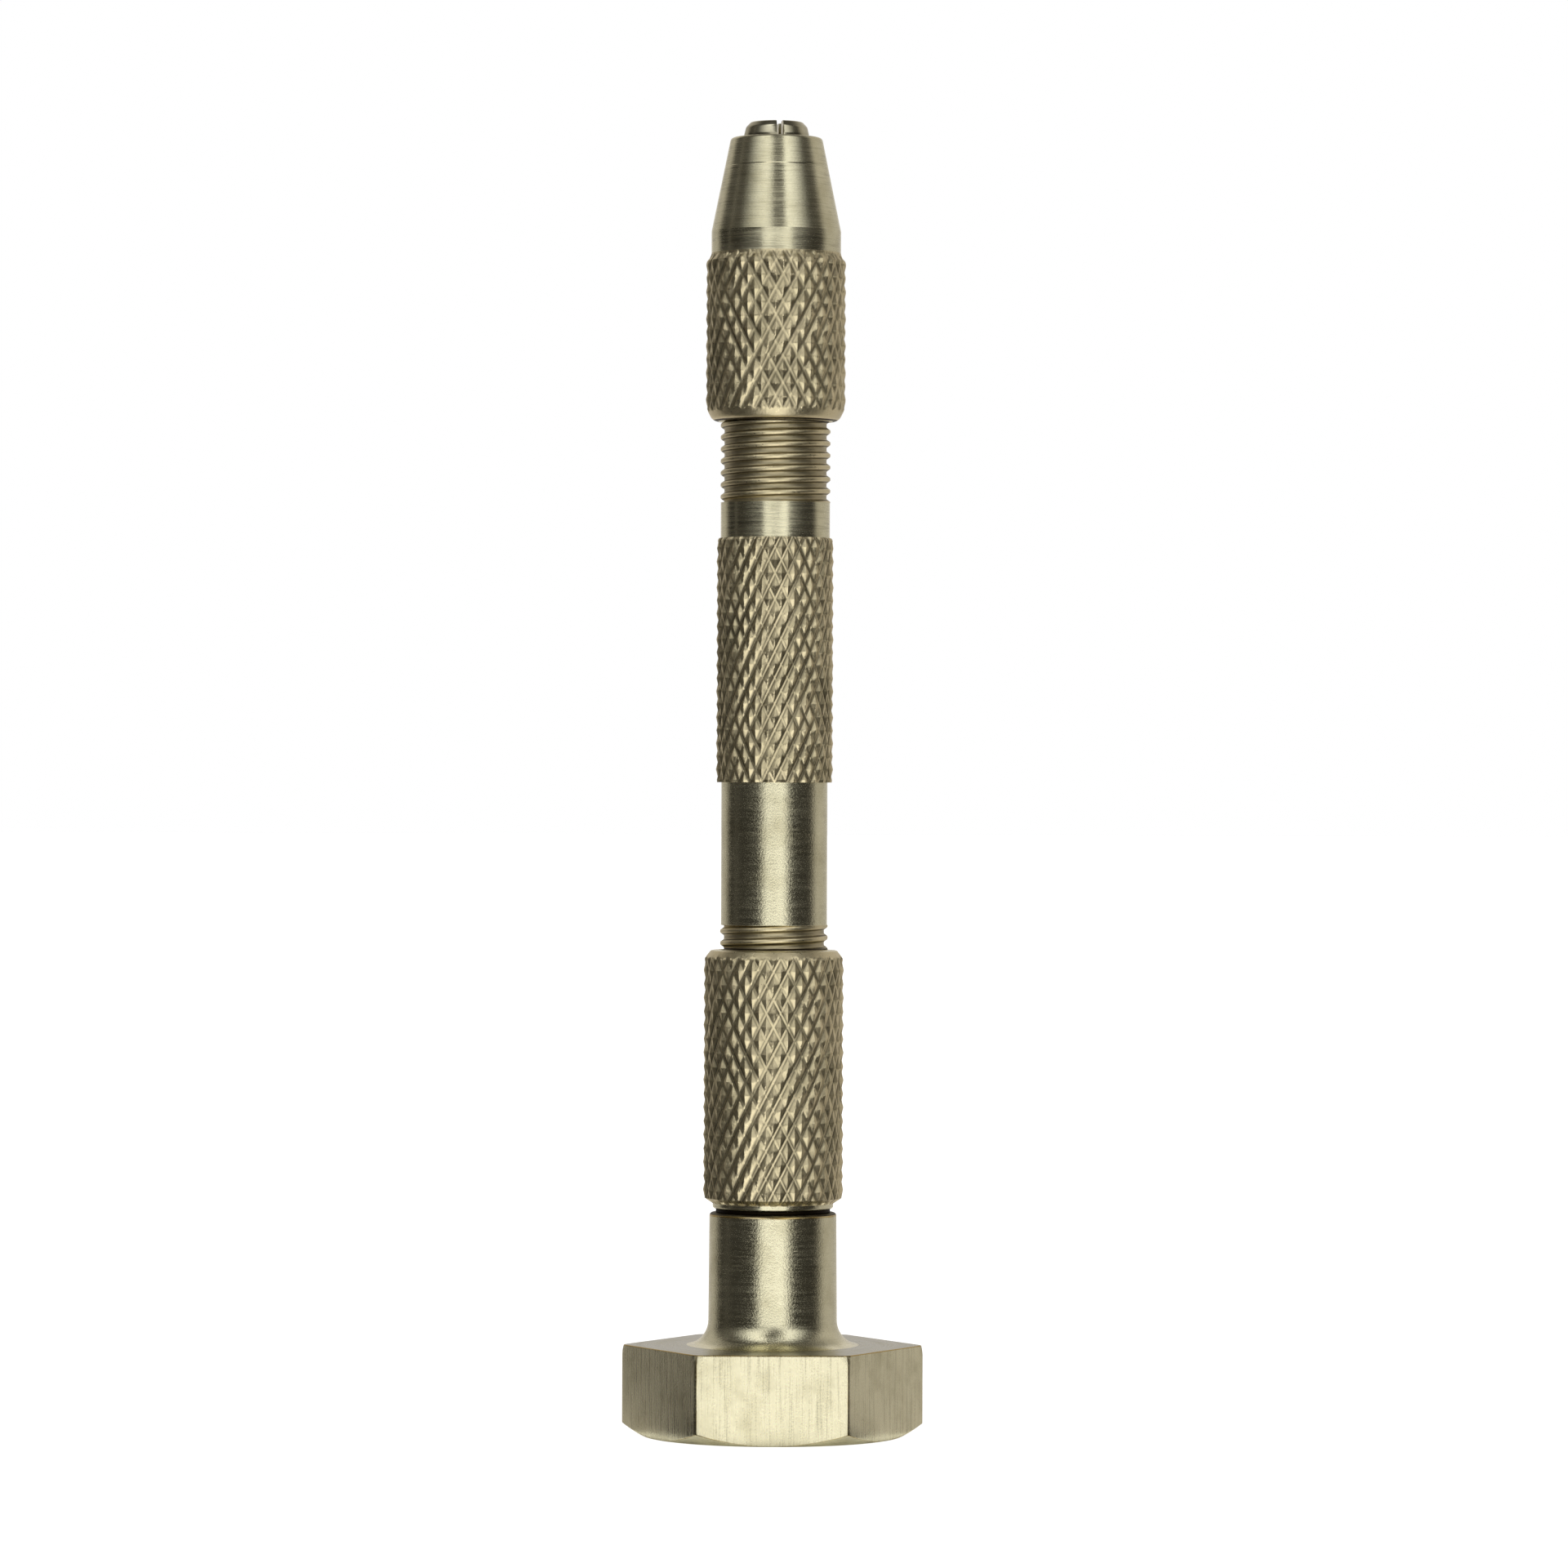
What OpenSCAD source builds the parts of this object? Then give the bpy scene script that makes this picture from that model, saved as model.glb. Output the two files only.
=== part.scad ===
// Swivel-head pin vise, standing on its six-sided head with the chuck upward.
// Millimetres. The head's flat end lies on z = 0 and the axis of the tool is z.
// Nine separate pieces: a barrel, a nose cap that closes on a reversible split collet,
// a rear cap with a spare collet inside the handle, and a head that turns freely on a
// shoulder screw between two washers.

/* [Whole tool] */
// Length from the head's flat end to the collet's tip; the grip takes up the difference
overall_length = 100; // [94:0.5:130]

/* [Swivel head] */
// Width of the six-sided head across its flats
hex_across_flats = 19.9; // [18:0.1:24]
// Thickness of the six-sided head
hex_thickness = 6.85; // [5:0.05:10]
// Diameter to which the six corners are eased
hex_corner_diameter = 22.9; // [20.7:0.1:27.7]
// Diameter of the round flat left by the chamfer under the head
hex_foot_diameter = 19.9; // [16:0.1:20]
// Slope of the chamfer under the head, in degrees
hex_chamfer_angle = 30; // [20:1:45]
// Height of the round neck above the six-sided head
neck_length = 10.1; // [9.8:0.1:16]
// Diameter of the neck at its top
neck_top_diameter = 9.68; // [8.8:0.02:10.4]
// Diameter of the neck above its fillet
neck_base_diameter = 9.8; // [8.8:0.02:10.6]
// Radius of the fillet between the neck and the head
neck_fillet = 1.9; // [0.5:0.1:3]
// Radius of the rounded edge at the top of the neck
neck_edge = 0.25; // [0.1:0.05:0.6]

/* [Rear cap] */
// Diameter over the knurl of the rear cap
rear_cap_diameter = 10.68; // [10.4:0.02:12]
// Length of the rear cap
rear_cap_length = 19.7; // [18:0.1:26]
// Diameter of the smooth narrow rim beside the neck
rear_rim_diameter = 9.2; // [8.6:0.1:9.8]
// Height of that rim
rear_rim_height = 0.4; // [0.3:0.05:1]
// Height of the slope from the rim out to the knurl
rear_rim_slope = 0.35; // [0.2:0.05:1]
// Radius of the rounded mouth of the rear cap
rear_cap_edge = 1.1; // [0.3:0.05:1.15]
// Thickness of the end wall that carries the pivot screw
rear_wall = 3; // [2:0.1:4]
// Diameter of the pocket above the end wall
rear_pocket_diameter = 6.6; // [6.5:0.05:7]

/* [Barrel] */
// Outer diameter of the thread that takes the rear cap
rear_thread_diameter = 8.2; // [8.1:0.02:8.6]
// Length of that thread
rear_thread_length = 11.85; // [8:0.05:15]
// Length of that thread left showing above the rear cap
rear_thread_shown = 1.9; // [0.5:0.1:4]
// Diameter of the plain length above the rear thread
rear_plain_diameter = 8.08; // [8:0.02:8.6]
// Length of the plain length above the rear thread
rear_plain_length = 10.85; // [5:0.05:25]
// Diameter over the knurl of the grip
grip_diameter = 8.92; // [8.6:0.02:10]
// Width of the chamfers at the ends of the grip
grip_chamfer = 0.2; // [0.05:0.05:0.25]
// Diameter of the plain collar above the grip
collar_diameter = 8.31; // [8.1:0.02:8.6]
// Length of the plain collar
collar_length = 2.75; // [1:0.05:6]
// Outer diameter of the thread that takes the nose cap
front_thread_diameter = 8.36; // [8.2:0.02:8.6]
// Length of that thread
front_thread_length = 13.85; // [13.5:0.05:14.2]
// Length of that thread left showing below the nose cap
front_thread_shown = 6; // [5.5:0.1:6.4]
// Diameter of the long bore behind the chuck
front_bore_diameter = 5.2; // [5.1:0.05:5.6]
// Depth of the wider bore that holds the spare collet
store_depth = 23; // [18:0.5:26]
// Chamfer on the ends of both threads and in the mouths of both caps
thread_chamfer = 0.3; // [0.1:0.05:0.4]

/* [Nose cap] */
// Diameter over the knurl of the nose cap
nose_diameter = 10.68; // [10.4:0.02:12]
// Length of the knurled skirt up to the smooth band
nose_skirt_length = 12.85; // [12.7:0.05:13]
// Height of the slope from the band out to the knurl
nose_skirt_slope = 0.7; // [0.2:0.05:1]
// Radius of the rounded lower lip of the nose cap
nose_lip_edge = 1.2; // [0.3:0.05:1.25]
// Diameter of the smooth band below the cone
nose_band_diameter = 9.86; // [9.4:0.02:10.2]
// Height of the smooth band
nose_band_length = 1.65; // [1:0.05:2]
// Height of the cone
nose_cone_length = 7.15; // [6.8:0.05:7.5]
// Diameter of the cone at the mouth
nose_mouth_diameter = 6.95; // [6.4:0.05:7.4]
// Radius of the rounded edge at the mouth
nose_mouth_edge = 0.3; // [0.05:0.05:0.4]
// Depth of the run-out groove above the inner thread
nose_relief_depth = 0.2; // [0.05:0.05:0.3]
// Height of the run-out groove
nose_relief_height = 1.4; // [0.8:0.1:1.8]
// Height of the slope from the run-out groove in to the collet's room
nose_inner_slope = 1; // [0.6:0.1:1.2]

/* [Collets] */
// Length of a collet from tip to tip
collet_length = 19.5; // [19.2:0.05:19.8]
// Height by which the chucked collet stands out of the nose cap
collet_overhang = 1.2; // [0.9:0.05:1.5]
// Diameter of a collet at the small end of its cone
collet_tip_diameter = 5; // [4.8:0.05:5.1]
// Radius of the rounded tip
collet_tip_round = 1.3; // [0.5:0.1:1.5]
// Diameter of a collet over its heads
collet_head_diameter = 6.2; // [6:0.05:6.3]
// Slope of the seating cones, in degrees from the axis
collet_cone_angle = 10; // [9:0.5:14]
// Length of the straight land behind each cone
collet_land_length = 1.2; // [0.6:0.1:1.6]
// Diameter of the waist between the heads
collet_waist_diameter = 4.7; // [4.2:0.1:5.2]
// Bore of the end in use
collet_bore_large = 1.6; // [1:0.1:2]
// Bore of the other end
collet_bore_small = 0.9; // [0.6:0.1:1.2]
// Diameter of the clearance hole behind the two gripping bores
collet_relief_diameter = 2.4; // [2.2:0.1:2.8]
// Length of each gripping bore
collet_grip_length = 4; // [3:0.1:6]
// Width of the cross slots
slot_width = 0.4; // [0.3:0.05:0.6]
// Depth of the cross slots from each tip
slot_depth = 8; // [6:0.1:8.5]
// Diameter of the hole that ends each slot
slot_end_diameter = 0.9; // [0.7:0.05:1.2]
// Angle of the cross slots about the axis
slot_angle = 10; // [0:1:44]

/* [Pivot] */
// Diameter of the pivot screw's shoulder
shoulder_diameter = 3.2; // [2.8:0.1:3.6]
// Diameter of the pivot screw's head
screw_head_diameter = 5; // [4.4:0.1:5.6]
// Height of the pivot screw's head
screw_head_height = 1.6; // [1.2:0.1:2]
// Width of the driver slot
driver_slot_width = 0.8; // [0.5:0.05:1]
// Depth of the driver slot
driver_slot_depth = 0.7; // [0.4:0.05:1]
// Diameter of the pivot screw's thread
screw_thread_diameter = 2.5; // [2:0.1:2.7]
// Length of the pivot screw's thread
screw_thread_length = 6.5; // [4:0.1:8]
// Diameter of the washer in the gap above the neck
thrust_washer_diameter = 8.7; // [6:0.1:9]
// Thickness of that washer
thrust_washer_thickness = 0.3; // [0.2:0.05:0.6]
// Diameter of the washer under the screw's head
inner_washer_diameter = 6.2; // [5.8:0.1:6.4]
// Thickness of that washer
inner_washer_thickness = 0.4; // [0.3:0.05:0.8]

/* [Fits] */
// Radial clearance in the screw threads and turning fits
running_fit = 0.03; // [0.01:0.01:0.08]
// Gap between a seated cone and its taper
cone_gap = 0.02; // [0.01:0.01:0.05]
// Radial clearance of the stored collet in its bore
store_fit = 0.1; // [0.05:0.01:0.15]
// End play of the pivot screw in the rear cap
end_play = 0.02; // [0.01:0.01:0.1]

/* [Hidden] */
$fn = 96;
cut = 1; // reach of a cutter past the face it cuts

// Length of the grip: what the other lengths along the tool leave of the whole
grip_length = overall_length - (hex_thickness + neck_length + thrust_washer_thickness
    + rear_cap_length + rear_thread_shown + rear_plain_length + collar_length
    + front_thread_shown + nose_skirt_length + nose_band_length + nose_cone_length
    + collet_overhang);

// Heights, counted up from the head's flat end
neck_top = hex_thickness + neck_length;
rear_cap_bottom = neck_top + thrust_washer_thickness;
rear_wall_top = rear_cap_bottom + rear_wall;
rear_cap_top = rear_cap_bottom + rear_cap_length;
rear_plain_bottom = rear_cap_top + rear_thread_shown;
barrel_bottom = rear_plain_bottom - rear_thread_length;
grip_bottom = rear_plain_bottom + rear_plain_length;
collar_bottom = grip_bottom + grip_length;
front_thread_bottom = collar_bottom + collar_length;
barrel_top = front_thread_bottom + front_thread_length;
nose_bottom = front_thread_bottom + front_thread_shown;
band_bottom = nose_bottom + nose_skirt_length;
cone_bottom = band_bottom + nose_band_length;
nose_top = cone_bottom + nose_cone_length;
collet_top = nose_top + collet_overhang;
collet_bottom = collet_top - collet_length;
screw_head_bottom = rear_wall_top + inner_washer_thickness + end_play;
spare_bottom = screw_head_bottom + screw_head_height;

// Derived collet sizes
collet_cone_length = (collet_head_diameter - collet_tip_diameter) / 2 / tan(collet_cone_angle);
store_diameter = collet_head_diameter + 2 * store_fit;

// Ring-shaped cutter that rounds the outer edge of radius r on a rod of radius rod_r;
// way = 1 rounds an upper edge at height z, way = -1 a lower one.
module edge_cutter(rod_r, z, r, way) {
    rotate_extrude()
        difference() {
            translate([rod_r - r, way > 0 ? z - r : z - cut])
                square([r + cut, r + cut]);
            translate([rod_r - r, z - way * r]) circle(r);
        }
}

// Cutter for a bore from z0 to z1 that opens from diameter d0 to diameter d1
module bore(z0, z1, d0, d1) {
    translate([0, 0, z0]) cylinder(h = z1 - z0, d1 = d0, d2 = d1);
}

// One double-ended collet standing on its small-bore end at z = 0
module collet() {
    half = collet_length / 2;
    tip = collet_tip_diameter / 2;
    head = collet_head_diameter / 2;
    waist = collet_waist_diameter / 2;
    cone_end = collet_tip_round + collet_cone_length;
    land_end = cone_end + collet_land_length;
    difference() {
        for (end = [0, 1])
            translate([0, 0, end * collet_length]) mirror([0, 0, end])
                difference() {
                    rotate_extrude()
                        polygon([[0, 0], [tip, 0], [tip, collet_tip_round], [head, cone_end],
                                 [head, land_end], [waist, land_end + head - waist],
                                 [waist, half], [0, half]]);
                    edge_cutter(tip, 0, collet_tip_round, -1);
                }
        translate([0, 0, -cut])
            cylinder(h = collet_grip_length + 2 * cut, d = collet_bore_small);
        translate([0, 0, collet_grip_length])
            cylinder(h = collet_length - 2 * collet_grip_length, d = collet_relief_diameter);
        translate([0, 0, collet_length - collet_grip_length - cut])
            cylinder(h = collet_grip_length + 2 * cut, d = collet_bore_large);
        for (end = [0, 1], turn = [0, 90])
            translate([0, 0, end * collet_length]) mirror([0, 0, end])
                rotate([0, 0, slot_angle + turn]) {
                    translate([-head - cut, -slot_width / 2, -cut])
                        cube([2 * (head + cut), slot_width, slot_depth + cut]);
                    translate([-head - cut, 0, slot_depth]) rotate([0, 90, 0])
                        cylinder(h = 2 * (head + cut), d = slot_end_diameter);
                }
    }
}

// Barrel: threaded at both ends, knurled grip, bored right through
module barrel() {
    store_top = barrel_bottom + store_depth;
    taper_bottom = collet_bottom + collet_tip_round;
    taper_small = collet_tip_diameter + 2 * cone_gap;
    color("Gainsboro") difference() {
        rotate_extrude() {
            rt = rear_thread_diameter / 2;
            ft = front_thread_diameter / 2;
            rp = rear_plain_diameter / 2;
            gr = grip_diameter / 2;
            co = collar_diameter / 2;
            polygon([[0, barrel_bottom], [rt - thread_chamfer, barrel_bottom],
                     [rt, barrel_bottom + thread_chamfer], [rt, rear_plain_bottom],
                     [rp, rear_plain_bottom], [rp, grip_bottom],
                     [gr - grip_chamfer, grip_bottom], [gr, grip_bottom + grip_chamfer],
                     [gr, collar_bottom - grip_chamfer], [gr - grip_chamfer, collar_bottom],
                     [co, collar_bottom], [co, front_thread_bottom],
                     [ft, front_thread_bottom], [ft, barrel_top - thread_chamfer],
                     [ft - thread_chamfer, barrel_top], [0, barrel_top]]);
        }
        bore(barrel_bottom - cut, barrel_top + cut, front_bore_diameter, front_bore_diameter);
        // store for the spare collet, with the slope that a drill leaves at its end
        bore(barrel_bottom - cut, store_top, store_diameter, store_diameter);
        bore(store_top - 0.001, store_top + (store_diameter - front_bore_diameter) / 2,
             store_diameter, front_bore_diameter);
        // taper that closes the lower jaws of the chucked collet
        bore(taper_bottom, barrel_top + cut, taper_small,
             taper_small + 2 * tan(collet_cone_angle) * (barrel_top + cut - taper_bottom));
    }
}

// Nose cap: cone, smooth band and knurled skirt, tapered inside to close the collet
module nose_cap() {
    thread_bore = front_thread_diameter + 2 * running_fit;
    relief_top = barrel_top + nose_relief_height + 0.2;
    taper_bottom = collet_top - collet_tip_round - collet_cone_length;
    collet_room = collet_head_diameter + 2 * cone_gap;
    color("Silver") difference() {
        rotate_extrude() {
            sk = nose_diameter / 2;
            bd = nose_band_diameter / 2;
            polygon([[0, nose_bottom], [sk, nose_bottom], [sk, band_bottom - nose_skirt_slope],
                     [bd, band_bottom], [bd, cone_bottom], [nose_mouth_diameter / 2, nose_top],
                     [0, nose_top]]);
        }
        edge_cutter(nose_diameter / 2, nose_bottom, nose_lip_edge, -1);
        edge_cutter(nose_mouth_diameter / 2, nose_top, nose_mouth_edge, 1);
        // inner thread with its eased mouth, run-out groove, and slope to the collet's room
        bore(nose_bottom - cut, relief_top, thread_bore, thread_bore);
        bore(nose_bottom - 0.001, nose_bottom + thread_chamfer,
             thread_bore + 2 * thread_chamfer, thread_bore);
        bore(relief_top - nose_relief_height, relief_top,
             thread_bore + 2 * nose_relief_depth, thread_bore + 2 * nose_relief_depth);
        bore(relief_top - 0.001, relief_top + nose_inner_slope, thread_bore, collet_room);
        // room for the collet's head, then the taper that closes it
        bore(relief_top, taper_bottom, collet_room, collet_room);
        bore(taper_bottom - 0.001, nose_top + cut, collet_room,
             collet_room - 2 * tan(collet_cone_angle) * (nose_top + cut - taper_bottom));
    }
}

// Collet in the chuck
module front_collet() {
    color("DimGray") translate([0, 0, collet_bottom]) collet();
}

// Spare collet, standing on the pivot screw inside the handle
module spare_collet() {
    color("DimGray") translate([0, 0, spare_bottom]) collet();
}

// Rear cap: screws onto the barrel and carries the turning head
module rear_cap() {
    pivot_bore = shoulder_diameter + 2 * running_fit;
    thread_bore = rear_thread_diameter + 2 * running_fit;
    color("Silver") difference() {
        rotate_extrude() {
            ou = rear_cap_diameter / 2;
            ri = rear_rim_diameter / 2;
            z0 = rear_cap_bottom;
            polygon([[0, z0], [ri - 0.1, z0], [ri, z0 + 0.1], [ri, z0 + rear_rim_height],
                     [ou, z0 + rear_rim_height + rear_rim_slope], [ou, rear_cap_top],
                     [0, rear_cap_top]]);
        }
        edge_cutter(rear_cap_diameter / 2, rear_cap_top, rear_cap_edge, 1);
        bore(rear_cap_bottom - cut, rear_wall_top + cut, pivot_bore, pivot_bore);
        bore(rear_wall_top, barrel_bottom + cut, rear_pocket_diameter, rear_pocket_diameter);
        // inner thread with its eased mouth; the barrel's end seats on its floor
        bore(barrel_bottom, rear_cap_top + cut, thread_bore, thread_bore);
        bore(rear_cap_top - thread_chamfer, rear_cap_top + 0.001, thread_bore,
             thread_bore + 2 * thread_chamfer);
    }
}

// Swivel head: six-sided foot with a round neck, tapped for the pivot screw
module swivel_head() {
    color("Silver") difference() {
        union() {
            intersection() {
                cylinder(h = hex_thickness, d = hex_across_flats / cos(30), $fn = 6);
                cylinder(h = hex_thickness, d = hex_corner_diameter);
                cylinder(h = hex_thickness, d1 = hex_foot_diameter,
                         d2 = hex_foot_diameter + 2 * hex_thickness / tan(hex_chamfer_angle));
            }
            rotate_extrude() {
                nt = neck_top_diameter / 2;
                nb = neck_base_diameter / 2;
                foot = hex_thickness + neck_fillet;
                difference() {
                    polygon([[0, hex_thickness - 1], [nb + neck_fillet, hex_thickness - 1],
                             [nb + neck_fillet, hex_thickness], [nb + neck_fillet, foot],
                             [nb, foot], [nt, neck_top], [0, neck_top]]);
                    translate([nb + neck_fillet, foot]) circle(neck_fillet);
                }
            }
        }
        edge_cutter(neck_top_diameter / 2, neck_top, neck_edge, 1);
        bore(neck_top - screw_thread_length - 0.8, neck_top + cut,
             screw_thread_diameter + 2 * running_fit, screw_thread_diameter + 2 * running_fit);
    }
}

// Shoulder screw: slotted head inside the rear cap, thread in the neck
module pivot_screw() {
    color("DarkGray") difference() {
        union() {
            translate([0, 0, neck_top - screw_thread_length])
                cylinder(h = screw_thread_length + cut, d = screw_thread_diameter);
            translate([0, 0, neck_top])
                cylinder(h = screw_head_bottom - neck_top, d = shoulder_diameter);
            translate([0, 0, screw_head_bottom])
                cylinder(h = screw_head_height, d = screw_head_diameter);
        }
        translate([-screw_head_diameter, -driver_slot_width / 2, spare_bottom - driver_slot_depth])
            cube([2 * screw_head_diameter, driver_slot_width, driver_slot_depth + cut]);
    }
}

// Flat washer of the given thickness standing on height z
module washer(z, outer, thickness) {
    translate([0, 0, z]) difference() {
        cylinder(h = thickness, d = outer);
        translate([0, 0, -cut])
            cylinder(h = thickness + 2 * cut, d = shoulder_diameter + 2 * running_fit);
    }
}

// Washer between the screw's head and the rear cap's end wall
module inner_washer() {
    color("Goldenrod") washer(rear_wall_top, inner_washer_diameter, inner_washer_thickness);
}

// Washer in the dark gap between the rear cap and the neck
module thrust_washer() {
    color("Goldenrod") washer(neck_top, thrust_washer_diameter, thrust_washer_thickness);
}

barrel();
nose_cap();
front_collet();
spare_collet();
rear_cap();
swivel_head();
pivot_screw();
inner_washer();
thrust_washer();
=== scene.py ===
import math

import bmesh
import bpy
from mathutils import Matrix, Vector


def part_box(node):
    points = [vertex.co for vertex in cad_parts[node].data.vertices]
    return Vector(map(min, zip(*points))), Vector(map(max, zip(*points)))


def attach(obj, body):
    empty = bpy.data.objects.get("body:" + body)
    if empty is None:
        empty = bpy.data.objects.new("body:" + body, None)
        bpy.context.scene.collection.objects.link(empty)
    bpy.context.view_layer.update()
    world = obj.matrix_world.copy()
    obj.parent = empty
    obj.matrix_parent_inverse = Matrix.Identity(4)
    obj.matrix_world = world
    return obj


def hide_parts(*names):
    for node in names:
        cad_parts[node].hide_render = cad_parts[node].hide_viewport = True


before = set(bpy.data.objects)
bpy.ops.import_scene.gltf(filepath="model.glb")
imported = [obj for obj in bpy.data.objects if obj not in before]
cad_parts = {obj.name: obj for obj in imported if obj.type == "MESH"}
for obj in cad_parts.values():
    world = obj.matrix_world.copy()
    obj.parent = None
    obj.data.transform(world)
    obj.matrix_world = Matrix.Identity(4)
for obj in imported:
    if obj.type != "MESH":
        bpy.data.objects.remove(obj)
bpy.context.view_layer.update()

# Barrel
# The hollow handle, turned from one brass bar to four diameters, threaded at both ends,
# rolled with a diamond knurl in the middle and nickel plated.

MM = 0.001


def outline(corners):
    """Rings up the outside and down the inside of a turned piece, in mm: (radius, height,
    points around). A corner is (radius, height, rounding, points around, row height); the
    last two hold from that corner to the next one."""
    rings = []
    count = len(corners)
    ends = []
    for i, (r, z, rounding, around, row) in enumerate(corners):
        here = Vector((r, z))
        if rounding == 0:
            ends.append((here, here, [here]))
            continue
        before = (Vector(corners[i - 1][:2]) - here).normalized()
        after = (Vector(corners[(i + 1) % count][:2]) - here).normalized()
        half = before.angle(after) / 2
        centre = here + (before + after).normalized() * rounding / math.sin(half)
        first = here + before * rounding / math.tan(half)
        last = here + after * rounding / math.tan(half)
        bends = 6
        arc = []
        for k in range(bends + 1):
            spoke = (first - centre).lerp(last - centre, k / bends)
            arc.append(centre + spoke.normalized() * rounding)
        ends.append((first, last, arc))
    for i, (r, z, rounding, around, row) in enumerate(corners):
        rings += [(p.x, p.y, around) for p in ends[i][2]]
        here, there = ends[i][1], ends[(i + 1) % count][0]
        rows = round(abs(there.y - here.y) / row) if row else 0
        places = [k / rows for k in range(1, rows)]
        # a ring close beside each rounding keeps the shading of the long faces straight
        length = (there - here).length
        if rounding and length > 0.2:
            places.insert(0, 0.04 / length)
        if corners[(i + 1) % count][2] and length > 0.2:
            places.append(1 - 0.04 / length)
        for share in places:
            p = here.lerp(there, share)
            rings.append((p.x, p.y, around))
    return rings


def skin(name, rings, closed, crossed=0):
    """A mesh over rings of points in mm. Neighbouring rings have the same number of
    points, or one has a whole multiple of the other's; a single point closes a pole.
    Between two rings of crossed points, each square gets both its diagonals."""
    points, starts = [], []
    for ring in rings:
        starts.append(len(points))
        points += ring
    faces = []
    pairs = range(len(rings) if closed else len(rings) - 1)
    for i in pairs:
        k = (i + 1) % len(rings)
        a, b, na, nb = starts[i], starts[k], len(rings[i]), len(rings[k])
        if na == nb:
            for j in range(na):
                n = (j + 1) % na
                square = (a + j, a + n, b + n, b + j)
                if na != crossed:
                    faces.append(square)
                    continue
                middle = len(points)
                points.append([sum(points[c][axis] for c in square) / 4 for axis in range(3)])
                faces += [(square[c], square[(c + 1) % 4], middle) for c in range(4)]
        else:
            most, least, dense, sparse = (na, nb, a, b) if na > nb else (nb, na, b, a)
            many = most // least
            fans = []
            for j in range(least):
                n = (j + 1) % least
                for m in range(many):
                    near = sparse + (j if m < many / 2 else n)
                    fans.append((dense + j * many + m, dense + (j * many + m + 1) % most, near))
                if least > 1:
                    middle = dense + j * many + math.ceil(many / 2)
                    fans.append((sparse + j, middle, sparse + n))
            faces += fans if na > nb else [fan[::-1] for fan in fans]
    mesh = bpy.data.meshes.new(name)
    mesh.from_pydata([(x * MM, y * MM, z * MM) for x, y, z in points], [], faces)
    mesh.update()
    piece = bpy.data.objects.new(name, mesh)
    bpy.context.scene.collection.objects.link(piece)
    return piece


def circle(r, z, around):
    if r < 1e-6:
        return [(0.0, 0.0, z)]
    turn = 2 * math.pi / around
    return [(r * math.cos(turn * j), r * math.sin(turn * j), z) for j in range(around)]


def turned(name, corners, closed=True, crossed=0):
    """A turned piece: its outline in mm swept once round the axis."""
    rings = [circle(r, z, around) for r, z, around in outline(corners)]
    return skin(name, rings, closed, crossed)


def add(tree, kind, settings=None, links=None):
    """Adds a node with its settings (a property, or an input's value) and the links to its
    inputs, and gives its outputs."""
    made = tree.nodes.new(kind)
    for key, value in (settings or {}).items():
        if isinstance(key, str) and hasattr(made, key):
            setattr(made, key, value)
        else:
            made.inputs[key].default_value = value
    for key, source in (links or {}).items():
        tree.links.new(source, made.inputs[key])
    return made.outputs


def new_cutter(name, sizes):
    """An empty Geometry Nodes tree that takes a bar and named sizes, and its first nodes:
    the inputs, the place, the height, the angle in turns and the distance from the axis."""
    tree = bpy.data.node_groups.new(name, "GeometryNodeTree")
    tree.interface.new_socket("Bar", in_out="INPUT", socket_type="NodeSocketGeometry")
    for size in sizes:
        tree.interface.new_socket(size, in_out="INPUT", socket_type="NodeSocketFloat")
    tree.interface.new_socket("Finish", in_out="INPUT", socket_type="NodeSocketMaterial")
    tree.interface.new_socket("Bar", in_out="OUTPUT", socket_type="NodeSocketGeometry")
    given = add(tree, "NodeGroupInput")
    place = add(tree, "GeometryNodeInputPosition")[0]
    part = add(tree, "ShaderNodeSeparateXYZ", links={0: place})
    angle = add(tree, "ShaderNodeMath", {"operation": "ARCTAN2"}, {0: part["Y"], 1: part["X"]})[0]
    turns = add(tree, "ShaderNodeMath", {"operation": "DIVIDE", 1: 2 * math.pi}, {0: angle})[0]
    flat = add(tree, "ShaderNodeCombineXYZ", links={"X": part["X"], "Y": part["Y"]})[0]
    radius = add(tree, "ShaderNodeVectorMath", {"operation": "LENGTH"}, {0: flat})["Value"]
    return tree, given, place, part["Z"], turns, radius


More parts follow.
